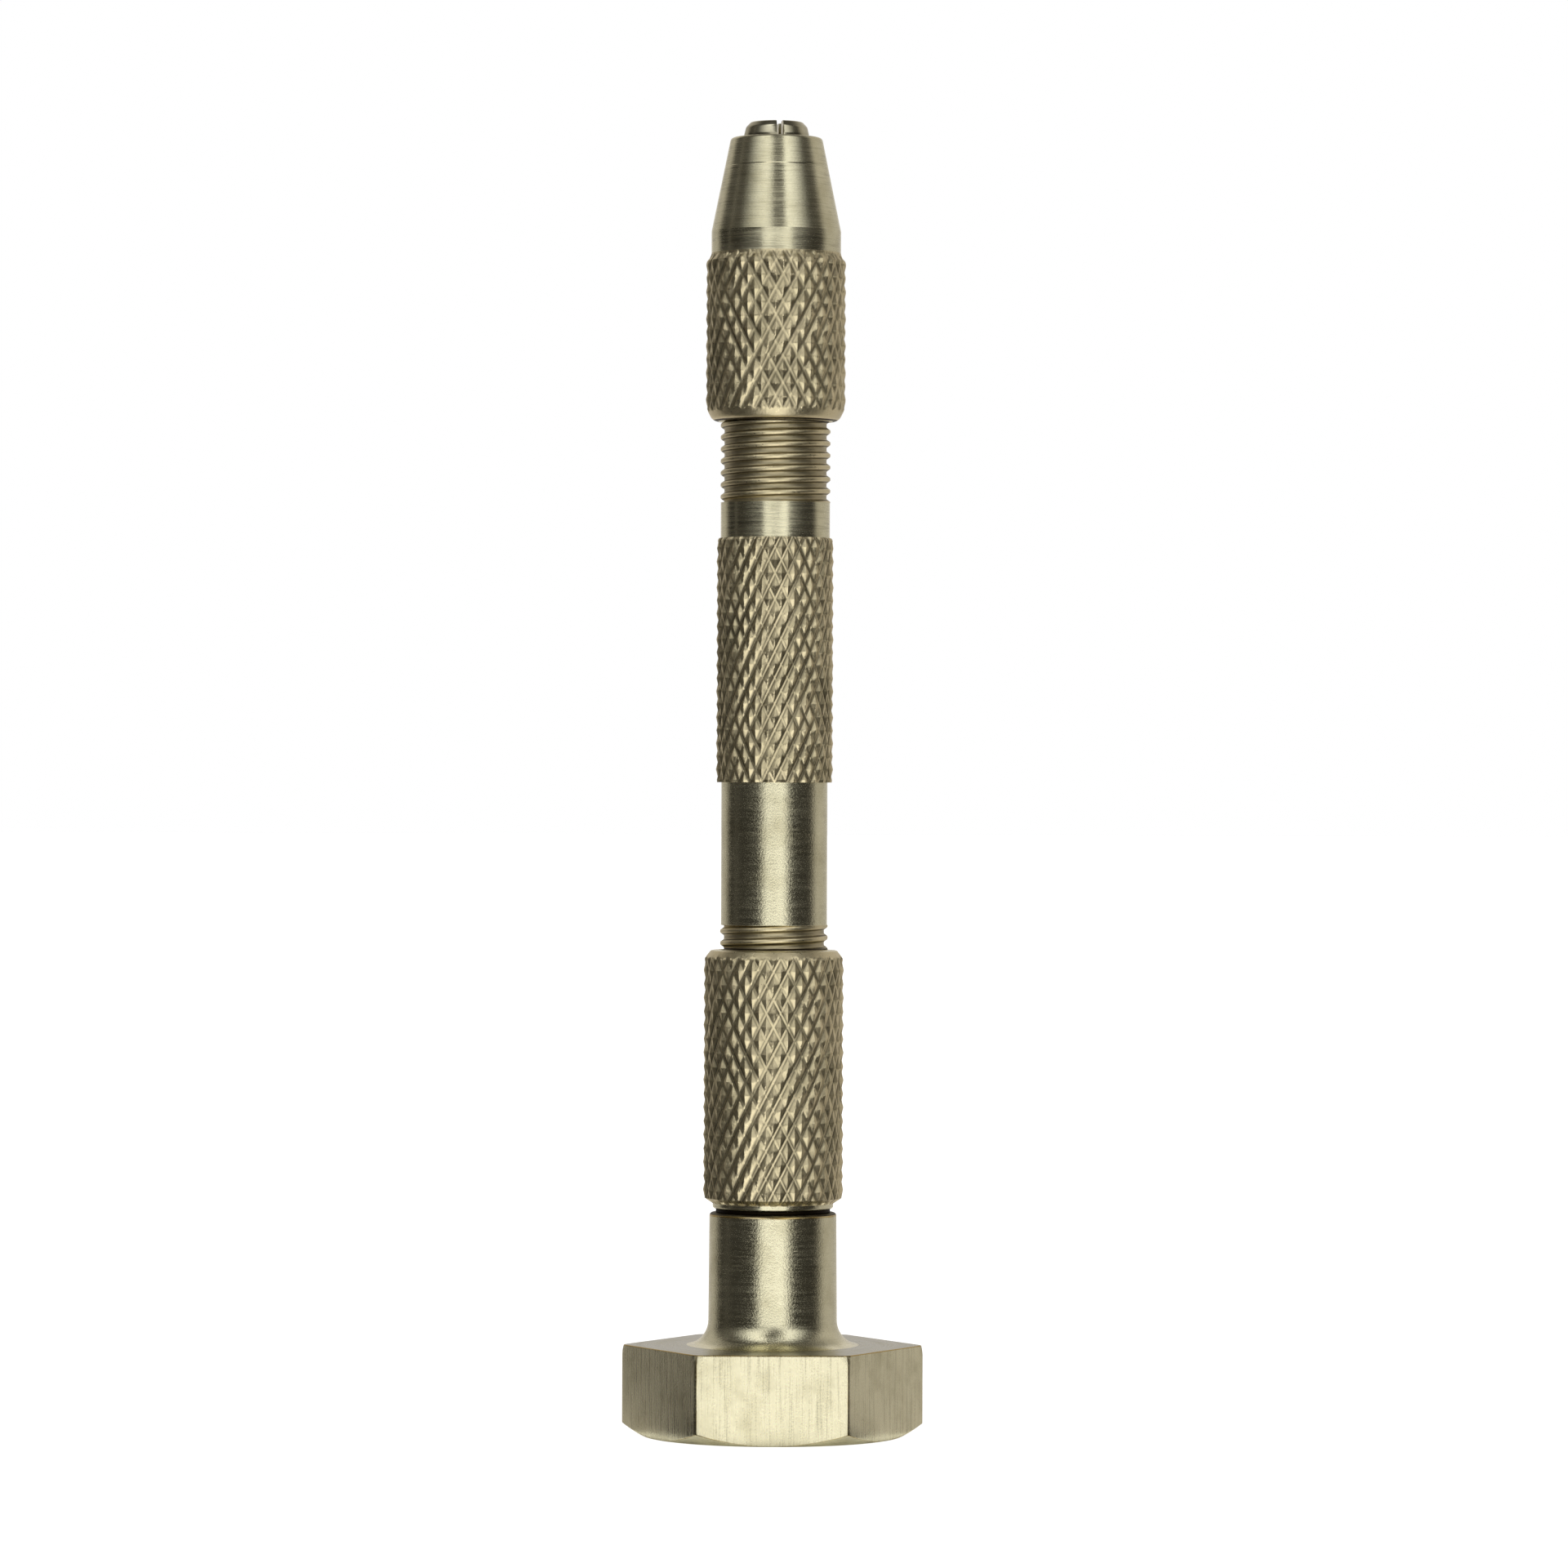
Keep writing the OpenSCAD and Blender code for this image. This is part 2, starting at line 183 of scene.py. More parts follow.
def move_to(tree, given, place, height, radius, wanted, dirt_and_shade):
    """Ends a cutter: between Bottom and Top the surface goes to the wanted radius, and
    where that cuts it, dirt and painted shade (0 clean, 1 full) is kept for the finish as groove."""
    above = add(tree, "ShaderNodeMath", {"operation": "GREATER_THAN"},
                {0: height, 1: given["Bottom"]})[0]
    below = add(tree, "ShaderNodeMath", {"operation": "LESS_THAN"}, {0: height, 1: given["Top"]})[0]
    inside = add(tree, "ShaderNodeMath", {"operation": "MULTIPLY"}, {0: above, 1: below})[0]
    share = add(tree, "ShaderNodeMath", {"operation": "DIVIDE"}, {0: wanted, 1: radius})[0]
    scale = add(tree, "ShaderNodeMix", {"A": 1.0}, {"Factor": inside, "B": share})[0]
    scales = add(tree, "ShaderNodeCombineXYZ", {"Z": 1.0}, {"X": scale, "Y": scale})[0]
    moved = add(tree, "ShaderNodeVectorMath", {"operation": "MULTIPLY"}, {0: place, 1: scales})[0]
    change = add(tree, "ShaderNodeMath", {"operation": "SUBTRACT"}, {0: radius, 1: wanted})[0]
    left = add(tree, "ShaderNodeMath", {"operation": "COMPARE", 1: 0.0, 2: 1e-7}, {0: change})[0]
    cut = add(tree, "ShaderNodeMath", {"operation": "SUBTRACT", 0: 1.0}, {1: left})[0]
    cut = add(tree, "ShaderNodeMath", {"operation": "MULTIPLY"}, {0: cut, 1: inside})[0]
    known = add(tree, "GeometryNodeInputNamedAttribute", {"Name": "groove"})[0]
    groove = add(tree, "ShaderNodeMix", {}, {"Factor": cut, "A": known, "B": dirt_and_shade})[0]
    kept = add(tree, "GeometryNodeStoreNamedAttribute", {"domain": "POINT", "Name": "groove"},
               {"Geometry": given["Bar"], "Value": groove})[0]
    shaped = add(tree, "GeometryNodeSetPosition", links={"Geometry": kept, "Position": moved})[0]
    whole = add(tree, "GeometryNodeRealizeInstances", links={"Geometry": shaped})[0]
    finished = add(tree, "GeometryNodeSetMaterial",
                   links={"Geometry": whole, "Material": given["Finish"]})[0]
    add(tree, "NodeGroupOutput", links={"Bar": finished})
    return tree


def knurl_roller():
    """Rolls two families of slanting grooves, which leave diamonds with a pointed top. The
    main family rises to the right; the cross family may be narrower and less even."""
    tree, given, place, height, turns, radius = new_cutter(
        "Roll a diamond knurl",
        ("Bottom", "Top", "Crest radius", "Least radius", "Depth", "Diamonds round",
         "Diamond height", "Groove share", "Uneven", "Cross groove share", "Cross uneven"))
    around = add(tree, "ShaderNodeMath", {"operation": "MULTIPLY"},
                 {0: turns, 1: given["Diamonds round"]})[0]
    up = add(tree, "ShaderNodeMath", {"operation": "SUBTRACT"}, {0: height, 1: given["Bottom"]})[0]
    up = add(tree, "ShaderNodeMath", {"operation": "DIVIDE"}, {0: up, 1: given["Diamond height"]})[0]
    banks, floors = [], []
    for way, seed, share, uneven in (
            ("ADD", 3.0, given["Cross groove share"], given["Cross uneven"]),
            ("SUBTRACT", 11.0, given["Groove share"], given["Uneven"])):
        line = add(tree, "ShaderNodeMath", {"operation": way}, {0: around, 1: up})[0]
        away = add(tree, "ShaderNodeMath", {"operation": "PINGPONG", 1: 0.5}, {0: line})[0]
        bank = add(tree, "ShaderNodeMapRange", {"From Max": 0.5, "To Min": 1.0, "To Max": 0.0},
                   {"Value": away, "From Min": share})[0]
        # the roller bites unevenly: each groove is shallower in places
        spot = add(tree, "ShaderNodeVectorMath", {"operation": "ADD", 1: (seed, seed, seed)},
                   {0: place})[0]
        bite = add(tree, "ShaderNodeTexNoise", {"Scale": 300.0, "Detail": 2.0}, {"Vector": spot})[0]
        bite = add(tree, "ShaderNodeMapRange", {"From Min": 0.35, "From Max": 0.68}, {"Value": bite})[0]
        bite = add(tree, "ShaderNodeMath", {"operation": "MULTIPLY"}, {0: bite, 1: uneven})[0]
        full = add(tree, "ShaderNodeMath", {"operation": "SUBTRACT", 0: 1.0}, {1: bite})[0]
        banks.append(add(tree, "ShaderNodeMath", {"operation": "MULTIPLY"}, {0: bank, 1: full})[0])
        floors.append(add(tree, "ShaderNodeMath", {"operation": "DIVIDE", "use_clamp": True},
                          {0: away, 1: share})[0])
    groove = add(tree, "ShaderNodeMath", {"operation": "MAXIMUM"}, {0: banks[0], 1: banks[1]})[0]
    drop = add(tree, "ShaderNodeMath", {"operation": "MULTIPLY"}, {0: groove, 1: given["Depth"]})[0]
    bar = add(tree, "ShaderNodeMath", {"operation": "MINIMUM"},
              {0: given["Crest radius"], 1: radius})[0]
    cut = add(tree, "ShaderNodeMath", {"operation": "SUBTRACT"}, {0: bar, 1: drop})[0]
    # the grooves run out at the ends of the knurl, where the bar is already thinner
    least = add(tree, "ShaderNodeMath", {"operation": "MINIMUM"},
                {0: given["Least radius"], 1: radius})[0]
    wanted = add(tree, "ShaderNodeMath", {"operation": "MAXIMUM"}, {0: cut, 1: least})[0]
    # dirt and painted shade stay at the foot of the banks, less in the middle of the groove
    foot = add(tree, "ShaderNodeMath", {"operation": "MULTIPLY"}, {0: floors[0], 1: floors[1]})[0]
    foot = add(tree, "ShaderNodeMapRange", {"To Min": 0.45}, {"Value": foot})[0]
    dirt_and_shade = add(tree, "ShaderNodeMath", {"operation": "MULTIPLY"}, {0: groove, 1: foot})[0]
    return move_to(tree, given, place, height, radius, wanted, dirt_and_shade)


def thread_die():
    """Cuts a right-hand thread with a broad crest. Inside is 0 for the outside of a bar
    and 1 for the wall of a hole."""
    tree, given, place, height, turns, radius = new_cutter(
        "Cut a screw thread",
        ("Bottom", "Top", "Crest radius", "Depth", "Pitch", "Crest height", "Crest share",
         "Inside"))
    up = add(tree, "ShaderNodeMath", {"operation": "SUBTRACT"},
             {0: height, 1: given["Crest height"]})[0]
    up = add(tree, "ShaderNodeMath", {"operation": "DIVIDE"}, {0: up, 1: given["Pitch"]})[0]
    phase = add(tree, "ShaderNodeMath", {"operation": "SUBTRACT"}, {0: up, 1: turns})[0]
    away = add(tree, "ShaderNodeMath", {"operation": "PINGPONG", 1: 0.5}, {0: phase})[0]
    sunk = add(tree, "ShaderNodeMapRange", {"interpolation_type": "SMOOTHSTEP", "From Max": 0.39},
               {"Value": away, "From Min": given["Crest share"]})[0]
    drop = add(tree, "ShaderNodeMath", {"operation": "MULTIPLY"}, {0: sunk, 1: given["Depth"]})[0]
    flank = add(tree, "ShaderNodeMath", {"operation": "SUBTRACT"},
                {0: given["Crest radius"], 1: drop})[0]
    outer = add(tree, "ShaderNodeMath", {"operation": "MINIMUM"}, {0: flank, 1: radius})[0]
    inner = add(tree, "ShaderNodeMath", {"operation": "MAXIMUM"}, {0: flank, 1: radius})[0]
    wanted = add(tree, "ShaderNodeMix", {}, {"Factor": given["Inside"], "A": outer, "B": inner})[0]
    # dirt and painted shade lie on the flanks, less in the root, and the crest is left clean
    dirt_and_shade = add(tree, "ShaderNodeMath", {"operation": "SUBTRACT", 0: 1.0}, {1: sunk})[0]
    dirt_and_shade = add(tree, "ShaderNodeMath", {"operation": "MULTIPLY"}, {0: dirt_and_shade, 1: sunk})[0]
    dirt_and_shade = add(tree, "ShaderNodeMath", {"operation": "MULTIPLY", 1: 4.0}, {0: dirt_and_shade})[0]
    root = add(tree, "ShaderNodeMath", {"operation": "MULTIPLY", 1: 0.74}, {0: sunk})[0]
    dirt_and_shade = add(tree, "ShaderNodeMath", {"operation": "MAXIMUM"}, {0: dirt_and_shade, 1: root})[0]
    return move_to(tree, given, place, height, radius, wanted, dirt_and_shade)


def settle(piece):
    """Makes one plain mesh of a piece and all its modifiers."""
    bpy.context.view_layer.update()
    seen = bpy.context.evaluated_depsgraph_get()
    plain = bpy.data.meshes.new_from_object(piece.evaluated_get(seen))
    piece.modifiers.clear()
    rough, piece.data = piece.data, plain
    bpy.data.meshes.remove(rough)


def machine(piece, cuts, finish):
    """Makes each cut (tree, sizes in mm, plain numbers) and leaves a plain mesh."""
    for tree, sizes, numbers in cuts:
        cutter = piece.modifiers.new(tree.name, "NODES")
        cutter.node_group = tree
        for socket in tree.interface.items_tree:
            if socket.in_out != "INPUT":
                continue
            if socket.name in sizes:
                cutter[socket.identifier] = float(sizes[socket.name] * MM)
            elif socket.name in numbers:
                cutter[socket.identifier] = float(numbers[socket.name])
            elif socket.name == "Finish":
                cutter[socket.identifier] = finish
    settle(piece)


def smooth(piece, sharp=40, knurled=None):
    """Shades a piece smooth, apart from edges sharper than so many degrees. Between the
    knurled heights in mm, every facet of the diamonds stays flat."""
    mesh = piece.data
    mesh.shade_smooth()
    facets = []
    if knurled:
        mesh.set_sharp_from_angle(angle=math.radians(8))
        low, high = (z * MM for z in knurled)
        facets = [edge.index for edge in mesh.edges if edge.use_edge_sharp
                  and low <= mesh.vertices[edge.vertices[0]].co.z <= high]
    mesh.set_sharp_from_angle(angle=math.radians(sharp))
    for index in facets:
        mesh.edges[index].use_edge_sharp = True


def linear(colour):
    """An sRGB hex colour as linear red, green, blue and alpha."""
    parts = [int(colour[i:i + 2], 16) / 255 for i in (1, 3, 5)]
    return [c / 12.92 if c <= 0.04045 else ((c + 0.055) / 1.055) ** 2.4 for c in parts] + [1.0]


def new_finish(name, colour, roughness):
    """A metal surface: the material, its tree and its shader."""
    finish = bpy.data.materials.new(name)
    finish.use_nodes = True
    tree = finish.node_tree
    shader = tree.nodes["Principled BSDF"]
    shader.inputs["Metallic"].default_value = 1.0
    shader.inputs["Base Color"].default_value = linear(colour)
    shader.inputs["Roughness"].default_value = roughness
    return finish, tree, shader


def nickel_plate(name, clean, roughness, grain, lines, rings, mark_depth, mottle_depth,
                 tarnished):
    """Bright nickel over brass, yellowed by age. lines and rings are the tool marks per
    metre along x, y and z and outward; the depths in mm tilt the surface. Tarnish in the
    marks, orange peel, stains, dirt and painted shade in the grooves, and brass at worn edges meet the
    eye."""
    finish, tree, shader = new_finish(name, clean, roughness)
    # the finest turned lines spread what the metal mirrors up and down, not sideways
    shader.inputs["Anisotropic"].default_value = grain
    shader.inputs["Anisotropic Rotation"].default_value = 0.25
    around = add(tree, "ShaderNodeTangent", {"direction_type": "RADIAL", "axis": "Z"})[0]
    tree.links.new(around, shader.inputs["Tangent"])
    place = add(tree, "ShaderNodeTexCoord")["Object"]
    part = add(tree, "ShaderNodeSeparateXYZ", links={0: place})
    flat = add(tree, "ShaderNodeCombineXYZ", links={"X": part["X"], "Y": part["Y"]})[0]
    out = add(tree, "ShaderNodeVectorMath", {"operation": "LENGTH"}, {0: flat})["Value"]
    out = add(tree, "ShaderNodeMath", {"operation": "MULTIPLY", 1: rings}, {0: out})[0]
    squeezed = add(tree, "ShaderNodeMapping", {"Scale": lines}, {"Vector": place})[0]
    marks = add(tree, "ShaderNodeTexNoise",
                {"noise_dimensions": "4D", "Scale": 1.0, "Detail": 3.0, "Roughness": 0.65},
                {"Vector": squeezed, "W": out})[0]
    # orange peel of the plating, bumps 0.15 mm apart
    peel = add(tree, "ShaderNodeTexNoise", {"Scale": 6500.0, "Detail": 3.0, "Roughness": 0.65},
               {"Vector": place})[0]
    # stains a few millimetres across
    stains = add(tree, "ShaderNodeTexNoise", {"Scale": 420.0, "Detail": 5.0, "Roughness": 0.6},
                 {"Vector": place})[0]
    groove = add(tree, "ShaderNodeAttribute", {"attribute_name": "groove"})["Fac"]
    edge = add(tree, "ShaderNodeAttribute", {"attribute_name": "worn"})["Fac"]
    rubbed = add(tree, "ShaderNodeMath", {"operation": "ADD"}, {0: edge, 1: stains})[0]
    tone = None
    shares = []
    # stains, tarnish in the deeper marks, dirt and painted shade in the grooves, brass at worn
    # edges: what each follows, where it begins and is full, how much of it covers the plate, and its
    # colour
    for sign, start, full, most, colour in (
            (stains, 0.45, 0.75, 0.5, "#B9B08A"), (marks, 0.5, 0.3, tarnished, "#5E5944"),
            (groove, 0.55, 0.95, 0.8, "#332E25"), (rubbed, 0.95, 1.4, 0.9, "#C2A458")):
        share = add(tree, "ShaderNodeMapRange",
                    {"From Min": start, "From Max": full, "To Max": most}, {"Value": sign})[0]
        under = {6: tone} if tone else {}
        tone = add(tree, "ShaderNodeMix", {"data_type": "RGBA", 6: linear(clean), 7: linear(colour)},
                   {0: share, **under})[2]
        shares.append(share)
    dirt_and_shade_share = shares[2]
    tree.links.new(tone, shader.inputs["Base Color"])
    rough = add(tree, "ShaderNodeMapRange",
                {"From Min": 0.3, "From Max": 0.7, "To Min": roughness - 0.05,
                 "To Max": roughness + 0.12}, {"Value": marks})[0]
    # the tops of the orange peel are duller, which grains light and dark alike
    grainy = add(tree, "ShaderNodeMapRange",
                 {"From Min": 0.5, "From Max": 0.66, "To Max": 4.5 * mottle_depth}, {"Value": peel})[0]
    rough = add(tree, "ShaderNodeMath", {"operation": "ADD"}, {0: rough, 1: grainy})[0]
    rough = add(tree, "ShaderNodeMix", {"B": 0.5}, {"Factor": dirt_and_shade_share, "A": rough})[0]
    tree.links.new(rough, shader.inputs["Roughness"])
    relief = add(tree, "ShaderNodeMath", {"operation": "MULTIPLY", 1: mark_depth * MM}, {0: marks})[0]
    relief = add(tree, "ShaderNodeMath", {"operation": "MULTIPLY_ADD", 1: mottle_depth * MM},
                 {0: peel, 2: relief})[0]
    bump = add(tree, "ShaderNodeBump", {"Strength": 1.0, "Distance": 1.0}, {"Height": relief})[0]
    tree.links.new(bump, shader.inputs["Normal"])
    return finish


def finish_zones(piece, zones):
    """Gives the outer faces between two heights in mm another finish: (finish, low, high)."""
    mesh = piece.data
    for finish, low, high in zones:
        mesh.materials.append(finish)
    first = len(mesh.materials) - len(zones)
    for face in mesh.polygons:
        centre = face.center
        if face.normal.xy.dot(centre.xy) <= 0:
            continue
        for k, (finish, low, high) in enumerate(zones):
            if low < centre.z / MM < high:
                face.material_index = first + k


# tool marks round the piece, drawn 0.12 mm apart because the real feed of 0.05 mm would
# not show
turned_nickel = nickel_plate(
    "Turned nickel plate", "#EFE9C7", roughness=0.22, grain=0.75, lines=(250, 250, 7000),
    rings=7000, mark_depth=0.013, mottle_depth=0.004, tarnished=0.35)
# the handling surfaces are buffed: faint marks, and the orange peel shows instead
polished_nickel = nickel_plate(
    "Polished nickel plate", "#EFE9C7", roughness=0.17, grain=0.3, lines=(400, 400, 6000),
    rings=6000, mark_depth=0.004, mottle_depth=0.019, tarnished=0.15)
# knurl and threads are handled most: the plate is browner and slightly crushed
rolled_nickel = nickel_plate(
    "Rolled nickel plate", "#F0E2B9", roughness=0.3, grain=0.0, lines=(6000, 6000, 6000),
    rings=0, mark_depth=0.024, mottle_depth=0.0, tarnished=0.0)
# painted shade: a dark plate laid where one piece meets the next
painted_shade_nickel = nickel_plate(
    "Nickel plate in painted shade", "#4A4234", roughness=0.45, grain=0.0, lines=(3500, 3500, 3500),
    rings=0, mark_depth=0.01, mottle_depth=0.0, tarnished=0.3)

roll_knurl = knurl_roller()
cut_thread = thread_die()

PITCH = 25.4 / 28
THREAD_DEPTH = 0.29
CREST_SHARE = 0.08  # half of the crest's width as a share of the pitch
KNURL_DEPTH = 0.21
KNURL_CELLS = 10  # mesh cells along a diamond, each way
HAIR = 0.001  # by this much a cut takes in or leaves out the ring of points at its end
PAINTED_SHADE_LINE = 0.14  # how wide the painted shade stands beside a neighbouring piece
THREAD_CHAMFER = 0.3
GRIP_DIAMONDS = 28
GRIP_ROWS = 94
FRONT_THREAD_ROWS = 16  # mesh rows in one turn of thread
REAR_THREAD_ROWS = 14


def knurled(low, high, radius, least_radius, row, diamonds):
    """The cut for a knurl between two heights in mm, with so many diamonds round."""
    # half of a groove's floor, in diamonds, is a whole number of mesh cells; uneven is how
    # much of its depth a groove may lose
    floor = 1 / KNURL_CELLS
    return (roll_knurl,
            {"Bottom": low, "Top": high, "Crest radius": radius, "Least radius": least_radius,
             "Depth": KNURL_DEPTH, "Diamond height": row * KNURL_CELLS},
            {"Diamonds round": diamonds, "Groove share": floor, "Uneven": 0.3,
             "Cross groove share": floor, "Cross uneven": 0.6})


def threaded(low, high, radius, crest_height, inside=0):
    """The cut for a thread between two heights in mm, one of its crests at crest_height."""
    return (cut_thread,
            {"Bottom": low + HAIR, "Top": high - HAIR, "Crest radius": radius,
             "Depth": THREAD_DEPTH, "Pitch": PITCH, "Crest height": crest_height},
            {"Crest share": CREST_SHARE, "Inside": inside})


barrel_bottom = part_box("barrel")[0].z / MM
barrel_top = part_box("barrel")[1].z / MM
rear_thread_radius = 4.1
rear_thread_top = barrel_bottom + 11.85
rear_plain_radius = 4.04
grip_bottom = rear_thread_top + 10.85
grip_radius = 4.46
grip_top = grip_bottom + 18.6
grip_row = (grip_top - grip_bottom) / GRIP_ROWS
collar_radius = 4.155
front_thread_bottom = grip_top + 2.7
front_thread_radius = 4.18
front_crest_height = 75.52
rear_crest_height = 37.9
store_radius = 3.2
store_top = barrel_bottom + 23
bore_radius = 2.6
taper_mouth_radius = 3.085
taper_depth = 2.75

fine = GRIP_DIAMONDS * KNURL_CELLS
coarse = fine // 4
barrel = turned("barrel_body", [
    (rear_thread_radius - THREAD_CHAMFER, barrel_bottom, 0.05, coarse, None),
    (rear_thread_radius, barrel_bottom + THREAD_CHAMFER, 0.0, coarse, PITCH / REAR_THREAD_ROWS),
    (rear_thread_radius, rear_thread_top, 0.0, coarse, None),
    (rear_plain_radius, rear_thread_top, 0.03, coarse, 2.0),
    (rear_plain_radius, grip_bottom, 0.0, coarse, None),
    (grip_radius - 0.07, grip_bottom, 0.0, fine, None),
    (grip_radius, grip_bottom + grip_row, 0.0, fine, grip_row),
    (grip_radius, grip_top - grip_row, 0.0, fine, None),
    (grip_radius - 0.12, grip_top, 0.0, fine, None),
    (collar_radius, grip_top, 0.0, coarse, 1.0),
    (collar_radius, front_thread_bottom, 0.0, coarse, None),
    (front_thread_radius, front_thread_bottom, 0.0, coarse, PITCH / FRONT_THREAD_ROWS),
    (front_thread_radius, barrel_top - THREAD_CHAMFER, 0.0, coarse, None),
    (front_thread_radius - THREAD_CHAMFER, barrel_top, 0.05, coarse, None),
    (taper_mouth_radius, barrel_top, 0.08, coarse, None),
    (bore_radius, barrel_top - taper_depth, 0.0, coarse, None),
    (bore_radius, store_top + 0.6, 0.0, coarse, None),
    (store_radius, store_top, 0.0, coarse, None),
    (store_radius, barrel_bottom, 0.1, coarse, None),
], crossed=fine)
machine(barrel, [
    knurled(grip_bottom - HAIR, grip_top + HAIR, grip_radius, collar_radius, grip_row,
            GRIP_DIAMONDS),
    threaded(front_thread_bottom, barrel_top, front_thread_radius, front_crest_height),
    threaded(barrel_bottom, rear_thread_top, rear_thread_radius, rear_crest_height),
], turned_nickel)
rear_cap_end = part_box("rear_cap")[1].z / MM
nose_cap_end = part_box("nose_cap")[0].z / MM
# beside each cap a thin line of painted shade is laid on the barrel's thread
finish_zones(barrel, [
    (rolled_nickel, barrel_bottom, rear_thread_top),
    (painted_shade_nickel, rear_cap_end, rear_cap_end + PAINTED_SHADE_LINE),
    (polished_nickel, rear_thread_top, grip_bottom),
    (rolled_nickel, grip_bottom, grip_top),
    (rolled_nickel, front_thread_bottom, barrel_top),
    (painted_shade_nickel, nose_cap_end - PAINTED_SHADE_LINE, nose_cap_end),
])
smooth(barrel, knurled=(grip_bottom, grip_top))
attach(barrel, "barrel")
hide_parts("barrel")

# Nose cap
# The chuck's nut, turned with a plain cone and band and a knurled skirt whose lip is turned
# back smooth, then tapered and threaded inside. Nickel-plated brass.


def lip_tool():
    """Turns a lip back after the knurl: a straight slope between two heights."""
    tree, given, place, height, turns, radius = new_cutter(
        "Turn back a lip", ("Bottom", "Top", "Radius at bottom", "Radius at top"))
    slope = add(tree, "ShaderNodeMapRange", {},
                {"Value": height, "From Min": given["Bottom"], "From Max": given["Top"],
                 "To Min": given["Radius at bottom"], "To Max": given["Radius at top"]})[0]
    wanted = add(tree, "ShaderNodeMath", {"operation": "MINIMUM"}, {0: radius, 1: slope})[0]
    clean = add(tree, "ShaderNodeMath", {"operation": "MULTIPLY", 1: 0.0}, {0: radius})[0]
    return move_to(tree, given, place, height, radius, wanted, clean)


turn_lip = lip_tool()

CAP_DIAMONDS = 30
NOSE_ROWS = 60
cap_radius = 5.34
lip_height = 0.48
lip_radius = 5.03
lip_face_radius = 4.79
lip_rounding = 0.68
lip_rows = 3

nose_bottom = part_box("nose_cap")[0].z / MM
nose_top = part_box("nose_cap")[1].z / MM
band_radius = 4.93
band_bottom = nose_top - 8.8
band_top = nose_top - 7.15
nose_knurl_bottom = nose_bottom + lip_height
nose_row = (band_bottom - nose_knurl_bottom) / NOSE_ROWS
mouth_radius = 3.475
thread_fit = 0.03
nose_thread_top = 86.4
collet_room = 3.12
taper_bottom = 95.3
taper_mouth = 2.5
relief_end = 1.2
relief_depth = 0.2
cone_slope = (band_radius - mouth_radius) / (nose_top - band_top)
score_height = nose_top - 2.2  # a thin line scored round the cone
score_half = 0.05
score_depth = 0.02
score_radius = mouth_radius + cone_slope * (nose_top - score_height)

fine = CAP_DIAMONDS * KNURL_CELLS
coarse = fine // 4
nose_thread = front_thread_radius + thread_fit
nose_cap = turned("nose_cap_body", [
    (lip_face_radius, nose_bottom, lip_rounding, coarse, None),
    (lip_radius, nose_knurl_bottom, 0.0, fine, None),
    (cap_radius, nose_knurl_bottom + nose_row, 0.0, fine, nose_row),
    (cap_radius, band_bottom - lip_rows * nose_row, 0.0, fine, nose_row),
    (band_radius, band_bottom, 0.0, fine, None),
    (band_radius, band_bottom + 0.1, 0.0, coarse, 0.5),
    (band_radius, band_top, 0.05, coarse, 0.8),
    (score_radius + cone_slope * score_half, score_height - score_half, 0.01, coarse, None),
    (score_radius - score_depth, score_height, 0.0, coarse, None),
    (score_radius - cone_slope * score_half, score_height + score_half, 0.01, coarse, 0.8),
    (mouth_radius, nose_top, 0.3, coarse, None),
    (taper_mouth, nose_top, 0.05, coarse, None),
    (collet_room, taper_bottom, 0.0, coarse, None),
    (collet_room, nose_thread_top + relief_end, 0.0, coarse, None),
    (nose_thread + relief_depth, nose_thread_top + relief_depth, 0.0, coarse, None),
    (nose_thread + relief_depth, nose_thread_top - relief_end, 0.0, coarse, None),
    (nose_thread - THREAD_DEPTH, nose_thread_top - relief_end, 0.0, coarse,
     PITCH / REAR_THREAD_ROWS),
    (nose_thread - THREAD_DEPTH, nose_bottom + 0.4, 0.0, coarse, 0.1),
    (nose_thread + 0.08, nose_bottom, 0.0, coarse, None),
], crossed=fine)
machine(nose_cap, [
    knurled(nose_knurl_bottom + 0.6 * nose_row, band_bottom - HAIR, cap_radius, band_radius,
            nose_row, CAP_DIAMONDS),
    (turn_lip,
     {"Bottom": nose_knurl_bottom, "Top": nose_knurl_bottom + lip_rows * nose_row,
      "Radius at bottom": lip_radius, "Radius at top": cap_radius}, {}),
    threaded(nose_bottom, nose_thread_top - relief_end, nose_thread, front_crest_height, 1),
], turned_nickel)
# painted shade under the lip, where the nose cap meets the barrel
finish_zones(nose_cap, [(painted_shade_nickel, nose_bottom, nose_bottom + 0.1),
                        (rolled_nickel, nose_bottom + 0.1, band_bottom)])
smooth(nose_cap, knurled=(nose_knurl_bottom + 1.5 * nose_row, band_bottom))
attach(nose_cap, "nose_cap")
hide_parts("nose_cap")

# Collets
# Two hardened steel collets, turned with a cone at each end, bored, and slit crosswise
# with a fine saw so that four jaws at each end can close.

collet_length = 19.5
collet_tip_radius = 2.47
collet_head_radius = 3.1
collet_waist_radius = 2.35
collet_tip = 1.3
collet_cone = 3.403
collet_land = 1.2
collet_grip = 4.0
collet_relief_radius = 1.2
collet_bores = (0.45, 0.8)
slot_width = 0.5
slot_depth = 8.0
slot_angle = 7


def saw(name, low, deep, wide, turn):
    """The space that a saw clears across the axis, from height low upward."""
    blade = bmesh.new()
    bmesh.ops.create_cube(blade, size=1.0)
    spin = Matrix.Rotation(math.radians(turn), 3, "Z")
    for v in blade.verts:
        v.co = spin @ Vector((v.co.x * 9, v.co.y * wide, (v.co.z + 0.5) * deep + low)) * MM
    mesh = bpy.data.meshes.new(name)
    blade.to_mesh(mesh)
    blade.free()
    space = bpy.data.objects.new(name, mesh)
    bpy.context.scene.collection.objects.link(space)
    return space


